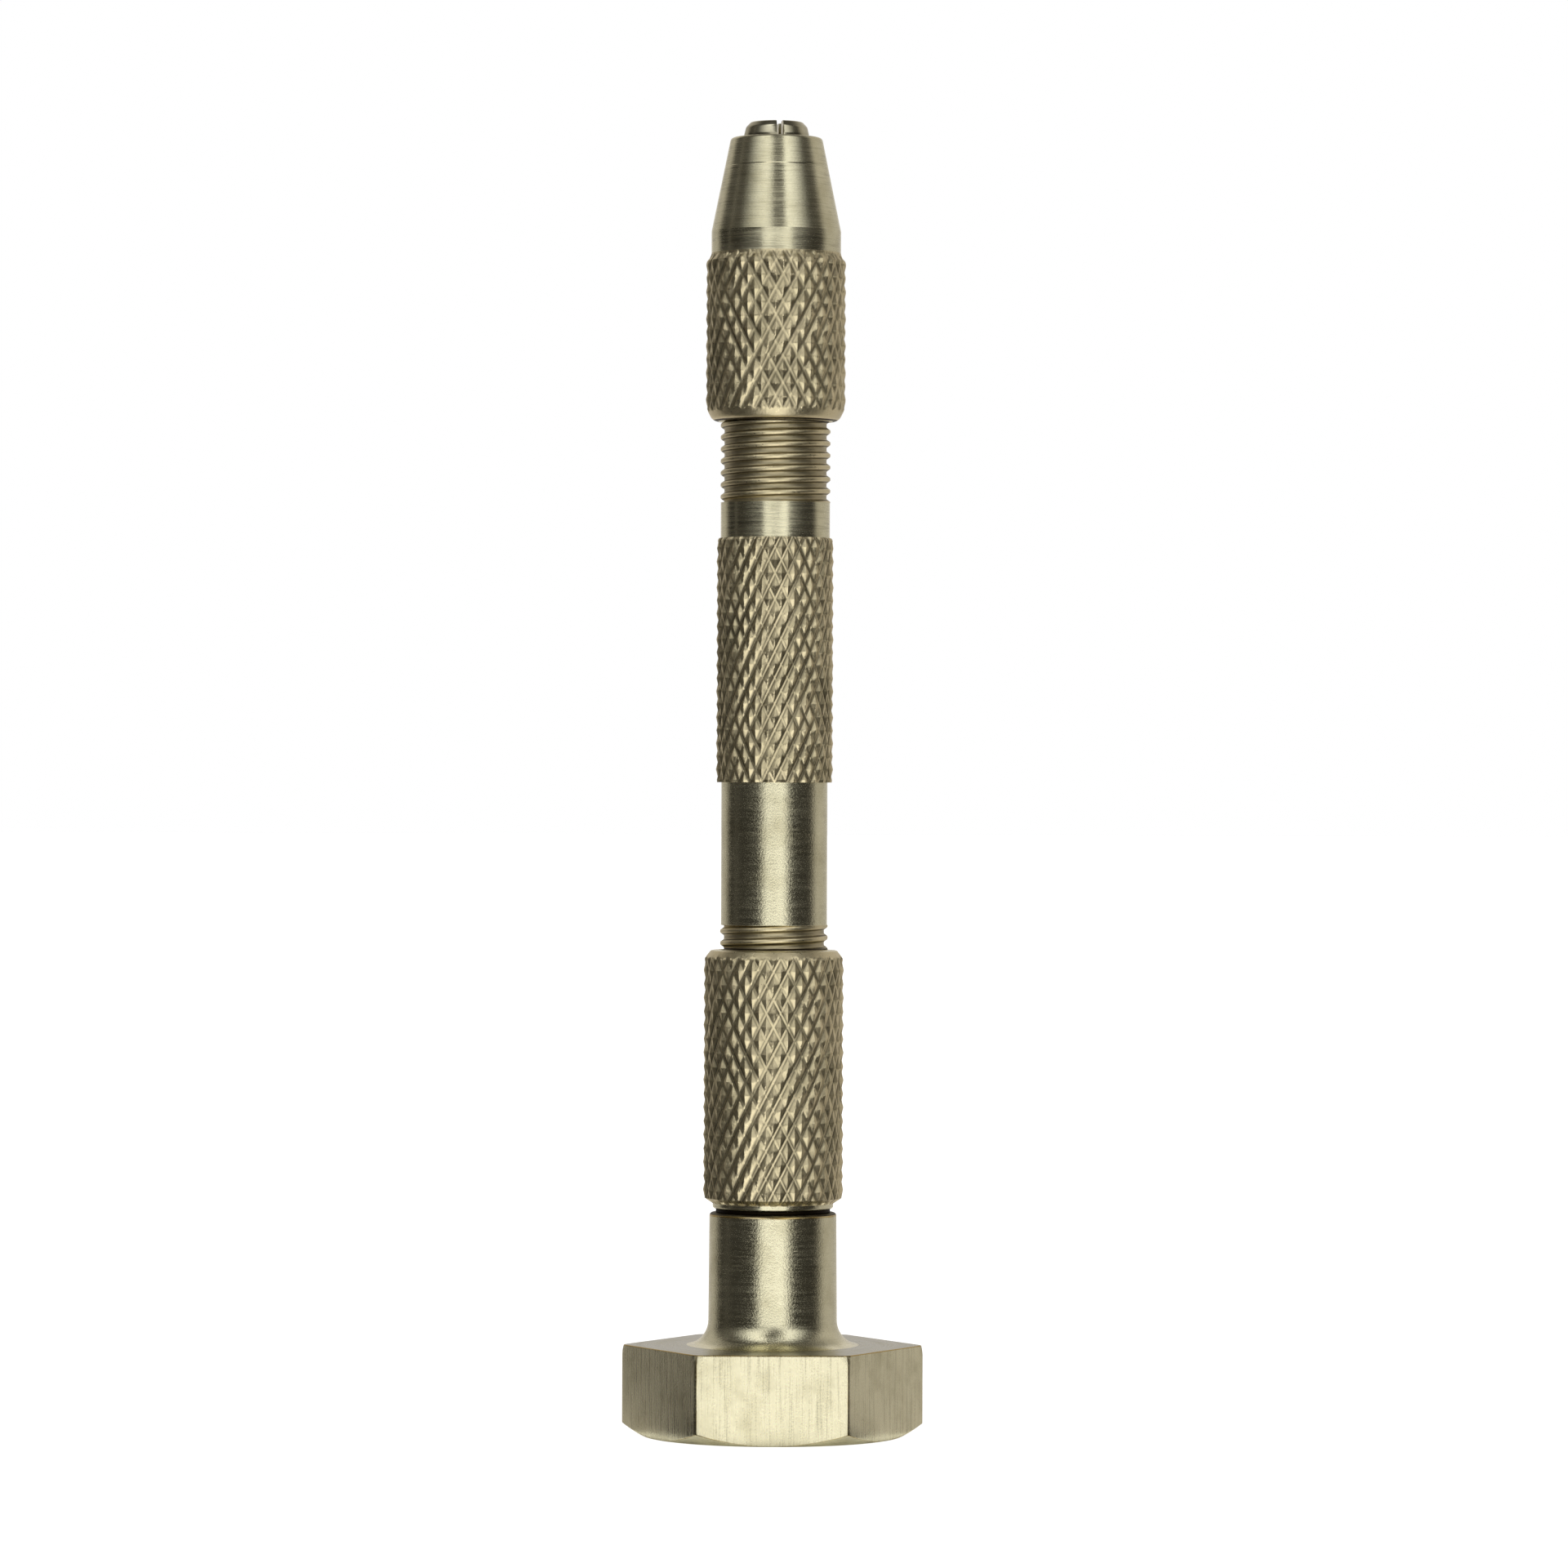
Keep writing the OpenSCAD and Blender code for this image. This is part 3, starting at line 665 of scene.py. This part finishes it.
def slit(piece, spaces, edge):
    """Cuts the spaces out of a piece and breaks its sharp edges by so many mm."""
    for space in spaces:
        cut = piece.modifiers.new("Slit", "BOOLEAN")
        cut.object = space
        cut.solver = "EXACT"
    eased = piece.modifiers.new("Eased edges", "BEVEL")
    eased.width = edge * MM
    eased.segments = 2
    eased.limit_method = "ANGLE"
    eased.angle_limit = math.radians(45)
    settle(piece)
    for space in spaces:
        bpy.data.objects.remove(space)


def hardened_steel(name, colour, roughness, stain="#A39A78"):
    """Steel hardened and tempered, then polished on the lathe: greyer than the plate,
    with fine rings round it and a faint brown stain."""
    finish, tree, shader = new_finish(name, colour, roughness)
    place = add(tree, "ShaderNodeTexCoord")["Object"]
    lines = add(tree, "ShaderNodeMapping", {"Scale": (300.0, 300.0, 9000.0)}, {"Vector": place})[0]
    marks = add(tree, "ShaderNodeTexNoise", {"Scale": 1.0, "Detail": 2.0}, {"Vector": lines})[0]
    cast = add(tree, "ShaderNodeTexNoise", {"Scale": 900.0, "Detail": 3.0}, {"Vector": place})[0]
    tone = add(tree, "ShaderNodeMix", {"data_type": "RGBA", 6: linear(colour), 7: linear(stain)},
               {0: cast})[2]
    tree.links.new(tone, shader.inputs["Base Color"])
    bump = add(tree, "ShaderNodeBump", {"Strength": 1.0, "Distance": 0.000006}, {"Height": marks})[0]
    tree.links.new(bump, shader.inputs["Normal"])
    return finish


collet_steel = hardened_steel("Polished hardened steel", "#E6E1C8", 0.22)


def collet(name, low, node, body):
    """A double-ended collet whose small-bore end is at height low."""
    around = 96
    half = collet_length / 2
    cone_end = collet_tip + collet_cone
    land_end = cone_end + collet_land
    ends = []
    for up, bore in ((1, collet_bores[0]), (-1, collet_bores[1])):
        end = [
            (collet_relief_radius, collet_grip, 0.0),
            (bore, collet_grip, 0.0),
            (bore, 0.0, 0.06),
            # the tip is turned round, down to a small flat face
            (collet_tip_radius - 0.5, 0.0, 0.3),
            (collet_tip_radius - 0.13, 0.4, 0.4),
            (collet_tip_radius, 0.95, 0.5),
            (collet_tip_radius, collet_tip, 0.0),
            (collet_head_radius, cone_end, 0.1),
            (collet_head_radius, land_end, 0.1),
            (collet_waist_radius, land_end + collet_head_radius - collet_waist_radius, 0.1),
        ]
        end = [(r, low + half - up * (half - z), e, around, None) for r, z, e in end]
        ends += end if up > 0 else end[::-1]
    made = turned(name, ends)
    spaces = [
        saw(name + "_slit", low + start, slot_depth + 1, slot_width, slot_angle + turn)
        for start in (-1, collet_length - slot_depth) for turn in (0, 90)
    ]
    slit(made, spaces, 0.02)
    made.data.materials.clear()
    made.data.materials.append(collet_steel)
    smooth(made, 30)
    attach(made, body)
    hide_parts(node)


collet("front_collet_body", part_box("front_collet")[0].z / MM, "front_collet", "chucked_collet")
collet("spare_collet_body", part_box("spare_collet")[0].z / MM, "spare_collet", "stored_collet")

# Rear cap
# Closes the handle and carries the turning head on its end wall: knurled all along, its
# mouth turned back smooth and its end stepped down to a plain rim. Nickel-plated brass.

REAR_CAP_ROWS = 91
rear_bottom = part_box("rear_cap")[0].z / MM
rear_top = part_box("rear_cap")[1].z / MM
rim_radius = 4.6
rim_top = rear_bottom + 0.4
rear_knurl_top = rear_top - 0.3
rear_lip_radius = 5.02
rear_row = (rear_knurl_top - rim_top) / REAR_CAP_ROWS
pivot_bore = 1.63
wall_top = rear_bottom + 3
pocket_radius = 3.3
rear_thread = rear_thread_radius + thread_fit

rear_cap = turned("rear_cap_body", [
    (pivot_bore, rear_bottom, 0.05, coarse, None),
    (rim_radius, rear_bottom, 0.2, coarse, None),
    (rim_radius, rim_top, 0.0, fine, rear_row),
    (cap_radius, rim_top + 2 * rear_row, 0.0, fine, rear_row),
    (cap_radius, rear_knurl_top - rear_row, 0.0, fine, None),
    (rear_lip_radius, rear_knurl_top, 0.0, fine, None),
    (lip_face_radius, rear_top, 0.3, coarse, None),
    (rear_thread + 0.08, rear_top, 0.0, coarse, None),
    (rear_thread - THREAD_DEPTH, rear_top - 0.4, 0.0, coarse, PITCH / REAR_THREAD_ROWS),
    (rear_thread - THREAD_DEPTH, barrel_bottom, 0.0, coarse, None),
    (pocket_radius, barrel_bottom, 0.0, coarse, None),
    (pocket_radius, wall_top, 0.2, coarse, None),
    (pivot_bore, wall_top, 0.0, coarse, None),
], crossed=fine)
machine(rear_cap, [
    knurled(rim_top - HAIR, rear_knurl_top - 0.6 * rear_row, cap_radius, rim_radius, rear_row,
            CAP_DIAMONDS),
    (turn_lip,
     {"Bottom": rear_knurl_top - 2 * rear_row, "Top": rear_knurl_top,
      "Radius at bottom": cap_radius, "Radius at top": rear_lip_radius}, {}),
    threaded(barrel_bottom, rear_top, rear_thread, rear_crest_height, 1),
], turned_nickel)
finish_zones(rear_cap, [(rolled_nickel, rim_top, rear_top - 0.05)])
smooth(rear_cap, knurled=(rim_top, rear_knurl_top - 1.5 * rear_row))
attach(rear_cap, "rear_cap")
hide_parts("rear_cap")

# Pivot: shoulder screw and two washers
# A slotted steel screw holds the head to the rear cap and lets it turn; a plain brass
# washer on each side of the cap's end wall takes the rubbing, painted near black for the shade in the
# gap round it.

screw_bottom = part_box("pivot_screw")[0].z / MM
screw_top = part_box("pivot_screw")[1].z / MM
neck_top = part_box("swivel_head")[1].z / MM
head_bottom = screw_top - 1.6
screw_radius = 1.25
screw_pitch = 0.45
screw_thread_top = neck_top - 0.2
shoulder_radius = 1.6
screw_head_radius = 2.5

screw_steel = hardened_steel("Turned steel", "#B9B5A5", 0.3)
pivot_screw = turned("pivot_screw_body", [
    (0.0, screw_bottom, 0.0, 1, None),
    (screw_radius - THREAD_CHAMFER, screw_bottom, 0.0, 64, None),
    (screw_radius, screw_bottom + THREAD_CHAMFER, 0.0, 64, screw_pitch / 8),
    (screw_radius, screw_thread_top, 0.0, 64, None),
    (screw_radius, neck_top, 0.0, 64, None),
    (shoulder_radius, neck_top, 0.0, 64, 1.0),
    (shoulder_radius, head_bottom, 0.0, 64, None),
    (screw_head_radius, head_bottom, 0.05, 64, None),
    (screw_head_radius, screw_top, 0.12, 64, None),
    (0.0, screw_top, 0.0, 1, None),
], closed=False)
machine(pivot_screw, [
    (cut_thread,
     {"Bottom": screw_bottom + HAIR, "Top": screw_thread_top, "Crest radius": screw_radius,
      "Depth": 0.2, "Pitch": screw_pitch, "Crest height": 0.0},
     {"Crest share": 0.1, "Inside": 0}),
], screw_steel)
slit(pivot_screw, [saw("driver_slot", screw_top - 0.7, 2, 0.8, 0)], 0.05)
smooth(pivot_screw, 30)
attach(pivot_screw, "swivel_head")
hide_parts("pivot_screw")

# the washers are painted near black: the shade in the gap between cap and head
painted_shade_brass = hardened_steel("Brass in painted shade", "#1B1712", 0.6, "#33291A")
for node, body, outer in (("inner_washer", "rear_cap", 3.1),
                          ("thrust_washer", "swivel_head", 4.35)):
    low, high = (corner.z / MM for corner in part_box(node))
    washer = turned(node + "_body", [
        (pivot_bore, low, 0.03, 96, None),
        (outer, low, 0.08, 96, None),
        (outer, high, 0.08, 96, None),
        (pivot_bore, high, 0.03, 96, None),
    ])
    washer.data.materials.append(painted_shade_brass)
    smooth(washer, 30)
    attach(washer, body)
    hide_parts(node)

# Swivel head
# One piece turned and milled from hexagon bar: six flats that stop the tool rolling and
# a round neck with a fillet, chamfered below. Nickel-plated brass, its edges worn.

flat_distance = 9.945
corner_radius = 11.449
head_top = 6.85
foot_radius = 9.93
chamfer_slope = math.tan(math.radians(30))
neck_radius = 4.9
neck_top_radius = 4.84
neck_fillet = 1.9
neck_rounding = 0.25
pivot_hole_radius = 1.28
pivot_hole_bottom = screw_bottom - 0.8
edge = 0.1
corner_roll = 0.12  # how far the corners' tops are turned in
roll_bottom = 6.05
corner_angle = math.degrees(math.acos(flat_distance / corner_radius))
half_side = [1.5 * k for k in range(1, 19)]
half_side += [28.2, corner_angle - 0.25, corner_angle]
side = [-30.0] + [-lean for lean in reversed(half_side)] + [0.0] + half_side


def head_ring(radius, height, wear=0.0, corner_wear=0.0):
    """A ring in mm whose radius and height follow the lean, the angle in degrees from the
    middle of a flat, and how worn its points are: all round, and on the upright edges."""
    ring = []
    for k in range(6):
        for lean in side:
            turn = math.radians(30 + 60 * k + lean)
            ring.append((radius(lean) * math.cos(turn), radius(lean) * math.sin(turn),
                         height(lean)))
            at_edge = abs(abs(lean) - corner_angle) < 0.01
            worn.append(max(wear, corner_wear if at_edge else 0.0))
    return ring


def hexagon(lean, inset=0.0, rolled_off=0.0):
    """The radius of the milled bar, its corners turned down and their edges dulled."""
    flat = (flat_distance - inset) / math.cos(math.radians(lean))
    dulled = 0.006 if abs(abs(lean) - corner_angle) < 0.01 else 0.0
    return min(flat, corner_radius - inset - rolled_off) - dulled


def crease(lean):
    """The height at which the turned chamfer below meets the flats and corners."""
    return (hexagon(lean) - foot_radius) * chamfer_slope


worn = [0.0]
rings = [[(0.0, 0.0, 0.0)]]
for r, z in ((4.0, 0.0), (foot_radius - 0.15, 0.0), (foot_radius - 0.05, 0.004),
             (foot_radius, 0.03)):
    rings.append(head_ring(lambda lean: r, lambda lean: z, 0.3))
for share, wear in ((0.5, 0.0), (0.93, 0.2)):
    rings.append(head_ring(lambda lean: foot_radius + (hexagon(lean) - foot_radius) * share,
                           lambda lean: max(0.035, crease(lean) * share), wear))
rings.append(head_ring(lambda lean: hexagon(lean) - 0.012,
                       lambda lean: crease(lean) + 0.01, 1.0))
for rise in (0.05, 0.1):
    rings.append(head_ring(hexagon, lambda lean: crease(lean) + rise, 0.0, 1.0))
for z in (1.4, 3.0, 4.6, roll_bottom, 6.3, 6.5, 6.65, head_top - edge - 0.03, head_top - edge):
    rolled_off = corner_roll * max(0.0, (z - roll_bottom) / (head_top - roll_bottom)) ** 2
    rings.append(head_ring(lambda lean: hexagon(lean, 0.0, rolled_off), lambda lean: z, 0.0, 1.0))
for k in range(1, 5):
    turn = math.pi / 2 * k / 4
    inset = edge * (1 - math.cos(turn))
    z = head_top - edge + edge * math.sin(turn)
    rings.append(head_ring(lambda lean: hexagon(lean, inset, rolled_off), lambda lean: z,
                           1.0 if k < 4 else 0.4))
fillet_foot = neck_radius + neck_fillet
for share in (0.06, 0.5):
    rings.append(head_ring(lambda lean: hexagon(lean, edge, rolled_off) * (1 - share)
                           + fillet_foot * share, lambda lean: head_top))
for k in range(13):
    turn = math.pi / 2 * k / 12
    rings.append(head_ring(lambda lean: fillet_foot - neck_fillet * math.sin(turn),
                           lambda lean: head_top + neck_fillet * (1 - math.cos(turn))))
for r, z, around in outline([
    (neck_radius, head_top + neck_fillet, 0.0, 1, 2.0),
    (neck_top_radius, neck_top, neck_rounding, 1, None),
    (pivot_hole_radius, neck_top, 0.05, 1, None),
    (pivot_hole_radius, pivot_hole_bottom, 0.0, 1, None),
    (0.0, pivot_hole_bottom, 0.0, 1, None),
])[1:-1]:
    at_edge = r > neck_top_radius - 0.2 and neck_top - neck_rounding - 0.01 < z < neck_top - edge
    rings.append(head_ring(lambda lean: r, lambda lean: z, 0.8 if at_edge else 0.0))
rings.append([(0.0, 0.0, pivot_hole_bottom)])
worn.append(0.0)
swivel_head = skin("swivel_head_body", rings, closed=False)
wear = swivel_head.data.attributes.new("worn", "FLOAT", "POINT")
wear.data.foreach_set("value", worn)

# flats milled with a wide cutter: upright lines 0.15 mm apart
milled_nickel = nickel_plate(
    "Milled nickel plate", "#F4EDCA", roughness=0.24, grain=0.0, lines=(6000, 6000, 200),
    rings=0, mark_depth=0.018, mottle_depth=0.012, tarnished=0.4)
# the faced top is never handled: dull, greyer and stained
faced_nickel = nickel_plate(
    "Faced nickel plate", "#BDBCAF", roughness=0.26, grain=0.0, lines=(150, 150, 150),
    rings=7000, mark_depth=0.006, mottle_depth=0.004, tarnished=0.3)
for finish in (turned_nickel, milled_nickel, polished_nickel, faced_nickel, painted_shade_nickel):
    swivel_head.data.materials.append(finish)
for face in swivel_head.data.polygons:
    centre = face.center / MM
    # the neck's top, in the gap under the rear cap, gets the painted shade
    if centre.z > neck_top - 0.12:
        face.material_index = 4
    elif centre.z > head_top - edge / 2 and face.normal.z > 0.93 and centre.xy.length > 6.5:
        face.material_index = 3
    elif centre.z > head_top - 0.001:
        face.material_index = 2
    elif abs(face.normal.z) < 0.6 and centre.xy.length > 8 and centre.z > 0.05:
        face.material_index = 1
smooth(swivel_head, 25)
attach(swivel_head, "swivel_head")
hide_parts("swivel_head")

# Studio
# A pale floor and backdrop, two soft boxes in front of the tool and black card at both
# sides, standing and lying, which give the metal its bright middle and dark flanks.


def sides_and_back(tree, azimuth):
    """Brightness by azimuth in degrees from the camera, apart from the soft boxes: black
    card at the sides, with a thin gap on the left, grey wall behind and white backdrop."""
    around = add(tree, "ShaderNodeMath", {"operation": "ABSOLUTE"}, {0: azimuth})[0]
    gap = add(tree, "ShaderNodeMath", {"operation": "ADD", 1: 92.0}, {0: azimuth})[0]
    gap = add(tree, "ShaderNodeMath", {"operation": "ABSOLUTE"}, {0: gap})[0]
    lit = None
    # the walls on the left and right, the backdrop and the gap: the angles at which each is
    # darkest and lightest, and how bright it is there
    for angle, dark, light, least, most in (
            (azimuth, -113.0, -134.0, 0.035, 0.42), (azimuth, 87.0, 105.0, 0.035, 0.45),
            (around, 140.0, 166.0, 0.0, 0.65), (gap, 4.0, 0.0, 0.0, 0.16)):
        one = add(tree, "ShaderNodeMapRange",
                  {"interpolation_type": "SMOOTHSTEP", "From Min": dark, "From Max": light,
                   "To Min": least, "To Max": most}, {"Value": angle})[0]
        if lit:
            one = add(tree, "ShaderNodeMath", {"operation": "MAXIMUM"}, {0: lit, 1: one})[0]
        lit = one
    return lit


def lens(tree):
    """1 for what the lens sees, directly or through glass, and 0 for light and mirrors,
    with the rays."""
    rays = add(tree, "ShaderNodeLightPath")
    seen = add(tree, "ShaderNodeMath", {"operation": "MAXIMUM"},
               {0: rays["Is Camera Ray"], 1: rays["Is Transmission Ray"]})[0]
    return seen, rays


def stage_piece(name, corners, faces, material):
    mesh = bpy.data.meshes.new(name)
    mesh.from_pydata(corners, [], faces)
    mesh.materials.append(material)
    staged = bpy.data.objects.new(name, mesh)
    bpy.context.scene.collection.objects.link(staged)
    return staged


paper = bpy.data.materials.new("White paper")
paper.use_nodes = True
tree = paper.node_tree
shader = tree.nodes["Principled BSDF"]
shader.inputs["Base Color"].default_value = linear("#F4F4F2")
shader.inputs["Roughness"].default_value = 0.9
shader.inputs["Specular IOR Level"].default_value = 0.1
shader.inputs["Emission Color"].default_value = (1, 1, 1, 1)
seen, rays = lens(tree)
# under the head's chamfer the metal mirrors the paper: there the tool's shadow is painted into the
# paper's glow for glossy rays, darker close to the tool
place = add(tree, "ShaderNodeTexCoord")["Object"]
away = add(tree, "ShaderNodeVectorMath", {"operation": "LENGTH"}, {0: place})["Value"]
painted_shadow = add(tree, "ShaderNodeMapRange", {"From Min": 0.0102, "From Max": 0.014, "To Min": 0.12},
               {"Value": away})[0]
painted_shadow = add(tree, "ShaderNodeMath", {"operation": "MULTIPLY"},
               {0: painted_shadow, 1: rays["Is Glossy Ray"]})[0]
seen = add(tree, "ShaderNodeMath", {"operation": "MULTIPLY", 1: 0.85}, {0: seen})[0]
seen = add(tree, "ShaderNodeMath", {"operation": "MULTIPLY_ADD", 1: 0.93}, {0: painted_shadow, 2: seen})[0]
tree.links.new(seen, shader.inputs["Emission Strength"])
paper.cycles.emission_sampling = "NONE"
reach = 6.0
stage_piece("floor", [(-reach, -reach, 0), (reach, -reach, 0), (reach, reach, 0),
                      (-reach, reach, 0)], [(0, 1, 2, 3)], paper)

WARM = linear("#FFF9F2")  # the cards and the wall tint what they reflect
card = bpy.data.materials.new("Black card on the floor")
card.use_nodes = True
tree = card.node_tree
tree.nodes.clear()
place = add(tree, "ShaderNodeTexCoord")["Object"]
part = add(tree, "ShaderNodeSeparateXYZ", links={0: place})
# the azimuth is taken from the flats that mirror the card, 9 mm beside the axis
wide = part["X"]
for step, metres in (("ABSOLUTE", 0.0), ("SUBTRACT", 0.009), ("MAXIMUM", 0.0001)):
    wide = add(tree, "ShaderNodeMath", {"operation": step, 1: metres}, {0: wide})[0]
which = add(tree, "ShaderNodeMath", {"operation": "SIGN"}, {0: part["X"]})[0]
wide = add(tree, "ShaderNodeMath", {"operation": "MULTIPLY"}, {0: wide, 1: which})[0]
away = add(tree, "ShaderNodeMath", {"operation": "SUBTRACT", 0: -0.0055}, {1: part["Y"]})[0]
turn = add(tree, "ShaderNodeMath", {"operation": "ARCTAN2"}, {0: wide, 1: away})[0]
turn = add(tree, "ShaderNodeMath", {"operation": "DEGREES"}, {0: turn})[0]
glow = add(tree, "ShaderNodeEmission", {"Color": WARM}, {"Strength": sides_and_back(tree, turn)})
add(tree, "ShaderNodeOutputMaterial", links={"Surface": glow[0]})
card.cycles.emission_sampling = "NONE"
card_reach = (0.0115, 5.9)
for name, first, last in (("left_card", -25, -180), ("right_card", 27, 180)):
    steps = 31
    corners = []
    for k in range(steps + 1):
        turn = math.radians(first + (last - first) * k / steps)
        for r in card_reach:
            corners.append((r * math.sin(turn), -r * math.cos(turn), 0.0002))
    laid = stage_piece(name, corners, [(2 * k, 2 * k + 1, 2 * k + 3, 2 * k + 2)
                                       for k in range(steps)], card)
    laid.visible_camera = False
    laid.visible_diffuse = False
    laid.visible_shadow = False

world = bpy.data.worlds.new("Studio")
bpy.context.scene.world = world
world.use_nodes = True
tree = world.node_tree
tree.nodes.clear()
way = add(tree, "ShaderNodeTexCoord")["Generated"]
part = add(tree, "ShaderNodeSeparateXYZ", links={0: way})
away = add(tree, "ShaderNodeMath", {"operation": "MULTIPLY", 1: -1.0}, {0: part["Y"]})[0]
turn = add(tree, "ShaderNodeMath", {"operation": "ARCTAN2"}, {0: part["X"], 1: away})[0]
turn = add(tree, "ShaderNodeMath", {"operation": "DEGREES"}, {0: turn})[0]
rise = part["Z"]
for step in ("ARCSINE", "DEGREES", "ABSOLUTE"):
    rise = add(tree, "ShaderNodeMath", {"operation": step}, {0: rise})[0]
# the cards and the backdrop end above the tool
lit = sides_and_back(tree, turn)
low = add(tree, "ShaderNodeMapRange",
          {"interpolation_type": "SMOOTHSTEP", "From Min": 62.0, "From Max": 30.0, "To Min": 0.08},
          {"Value": rise})[0]
lit = add(tree, "ShaderNodeMath", {"operation": "MULTIPLY"}, {0: lit, 1: low})[0]
high = add(tree, "ShaderNodeMapRange",
           {"interpolation_type": "SMOOTHSTEP", "From Min": 82.0, "From Max": 68.0}, {"Value": rise})[0]
# from 9 to 20 degrees up the boxes widen and their outer edges soften
upper = add(tree, "ShaderNodeMapRange", {"From Min": 9.0, "From Max": 20.0}, {"Value": rise})[0]
lit = add(tree, "ShaderNodeMath", {"operation": "MULTIPLY_ADD", 1: 0.05}, {0: upper, 2: lit})[0]
# the gap between the boxes is open level with the tool's middle and again higher up
spill = add(tree, "ShaderNodeMapRange",
            {"From Min": 0.5, "From Max": 4.5, "To Min": 0.02, "To Max": 0.85}, {"Value": rise})[0]
spill = add(tree, "ShaderNodeMath", {"operation": "MULTIPLY_ADD", 1: -0.8}, {0: upper, 2: spill})[0]
steep = add(tree, "ShaderNodeMapRange", {"From Min": 28.0, "From Max": 40.0}, {"Value": rise})[0]
boxes = None
# each box: outer edge and its softness low down, what both gain higher up, inner edge, how
# far it draws back higher up and steeply up, all in degrees of azimuth, and its brightness
# level with the tool and at the top
for outer, soft, wider, softer, inner, back, notch, dim, bright in (
        (-22.0, -8.0, -34.0, -22.0, -8.0, 2.0, -14.0, 0.52, 1.6),
        (29.0, 8.0, 25.0, 17.0, 10.0, 7.0, 4.0, 0.83, 1.35)):
    glow = add(tree, "ShaderNodeMapRange", {"From Max": 60.0, "To Min": dim, "To Max": bright},
               {"Value": rise})[0]
    rim, blur, seam = [
        add(tree, "ShaderNodeMath", {"operation": "MULTIPLY_ADD", 1: gain, 2: base}, {0: upper})[0]
        for gain, base in ((wider, outer), (softer, soft), (back, inner))
    ]
    dark, full = [add(tree, "ShaderNodeMath", {"operation": way}, {0: rim, 1: blur})[0]
                  for way in ("ADD", "SUBTRACT")]
    box = add(tree, "ShaderNodeMapRange", {"interpolation_type": "SMOOTHSTEP"},
              {"Value": turn, "From Min": dark, "From Max": full, "To Max": glow})[0]
    seam = add(tree, "ShaderNodeMath", {"operation": "MULTIPLY_ADD", 1: notch}, {0: steep, 2: seam})[0]
    outward = math.copysign(1.0, outer)
    open_to, shut_from = [
        add(tree, "ShaderNodeMath", {"operation": way, 1: 2.0 * outward}, {0: seam})[0]
        for way in ("ADD", "SUBTRACT")
    ]
    opened = add(tree, "ShaderNodeMapRange", {"interpolation_type": "SMOOTHSTEP"},
                 {"Value": turn, "From Min": shut_from, "From Max": open_to, "To Min": spill})[0]
    # past its inner edge a box is cut off where the other one begins
    past = add(tree, "ShaderNodeMapRange", {"From Min": -12.0 * outward, "From Max": 0.0},
               {"Value": turn})[0]
    for factor in (opened, high, past):
        box = add(tree, "ShaderNodeMath", {"operation": "MULTIPLY"}, {0: box, 1: factor})[0]
    if boxes:
        box = add(tree, "ShaderNodeMath", {"operation": "MAXIMUM"}, {0: boxes, 1: box})[0]
    boxes = box
lit = add(tree, "ShaderNodeMath", {"operation": "MAXIMUM"}, {0: lit, 1: boxes})[0]
# the metal mirrors the studio, and the lens sees white behind the tool
seen, rays = lens(tree)
strength = add(tree, "ShaderNodeMix", {"B": 1.0}, {"Factor": seen, "A": lit})[0]
plain = add(tree, "ShaderNodeMath", {"operation": "MULTIPLY_ADD", "use_clamp": True, 1: 4.0},
            {0: boxes, 2: seen})[0]
colour = add(tree, "ShaderNodeMix", {"data_type": "RGBA", 6: WARM, 7: (1, 1, 1, 1)}, {0: plain})[2]
sky = add(tree, "ShaderNodeBackground", links={"Color": colour, "Strength": strength})
add(tree, "ShaderNodeOutputWorld", links={"Surface": sky[0]})

CAMERA_DISTANCE = 0.516
camera_data = bpy.data.cameras.new("camera")
camera_data.lens = 155.45
camera_data.sensor_width = 36
camera_data.clip_start = 0.05
camera_data.clip_end = 20
camera = bpy.data.objects.new("camera", camera_data)
camera.location = (0.00073, -CAMERA_DISTANCE, 0.04958)
camera.rotation_euler = (math.radians(90), math.radians(-0.2), 0)
bpy.context.scene.collection.objects.link(camera)
bpy.context.scene.camera = camera
bpy.context.scene.view_settings.view_transform = "Standard"
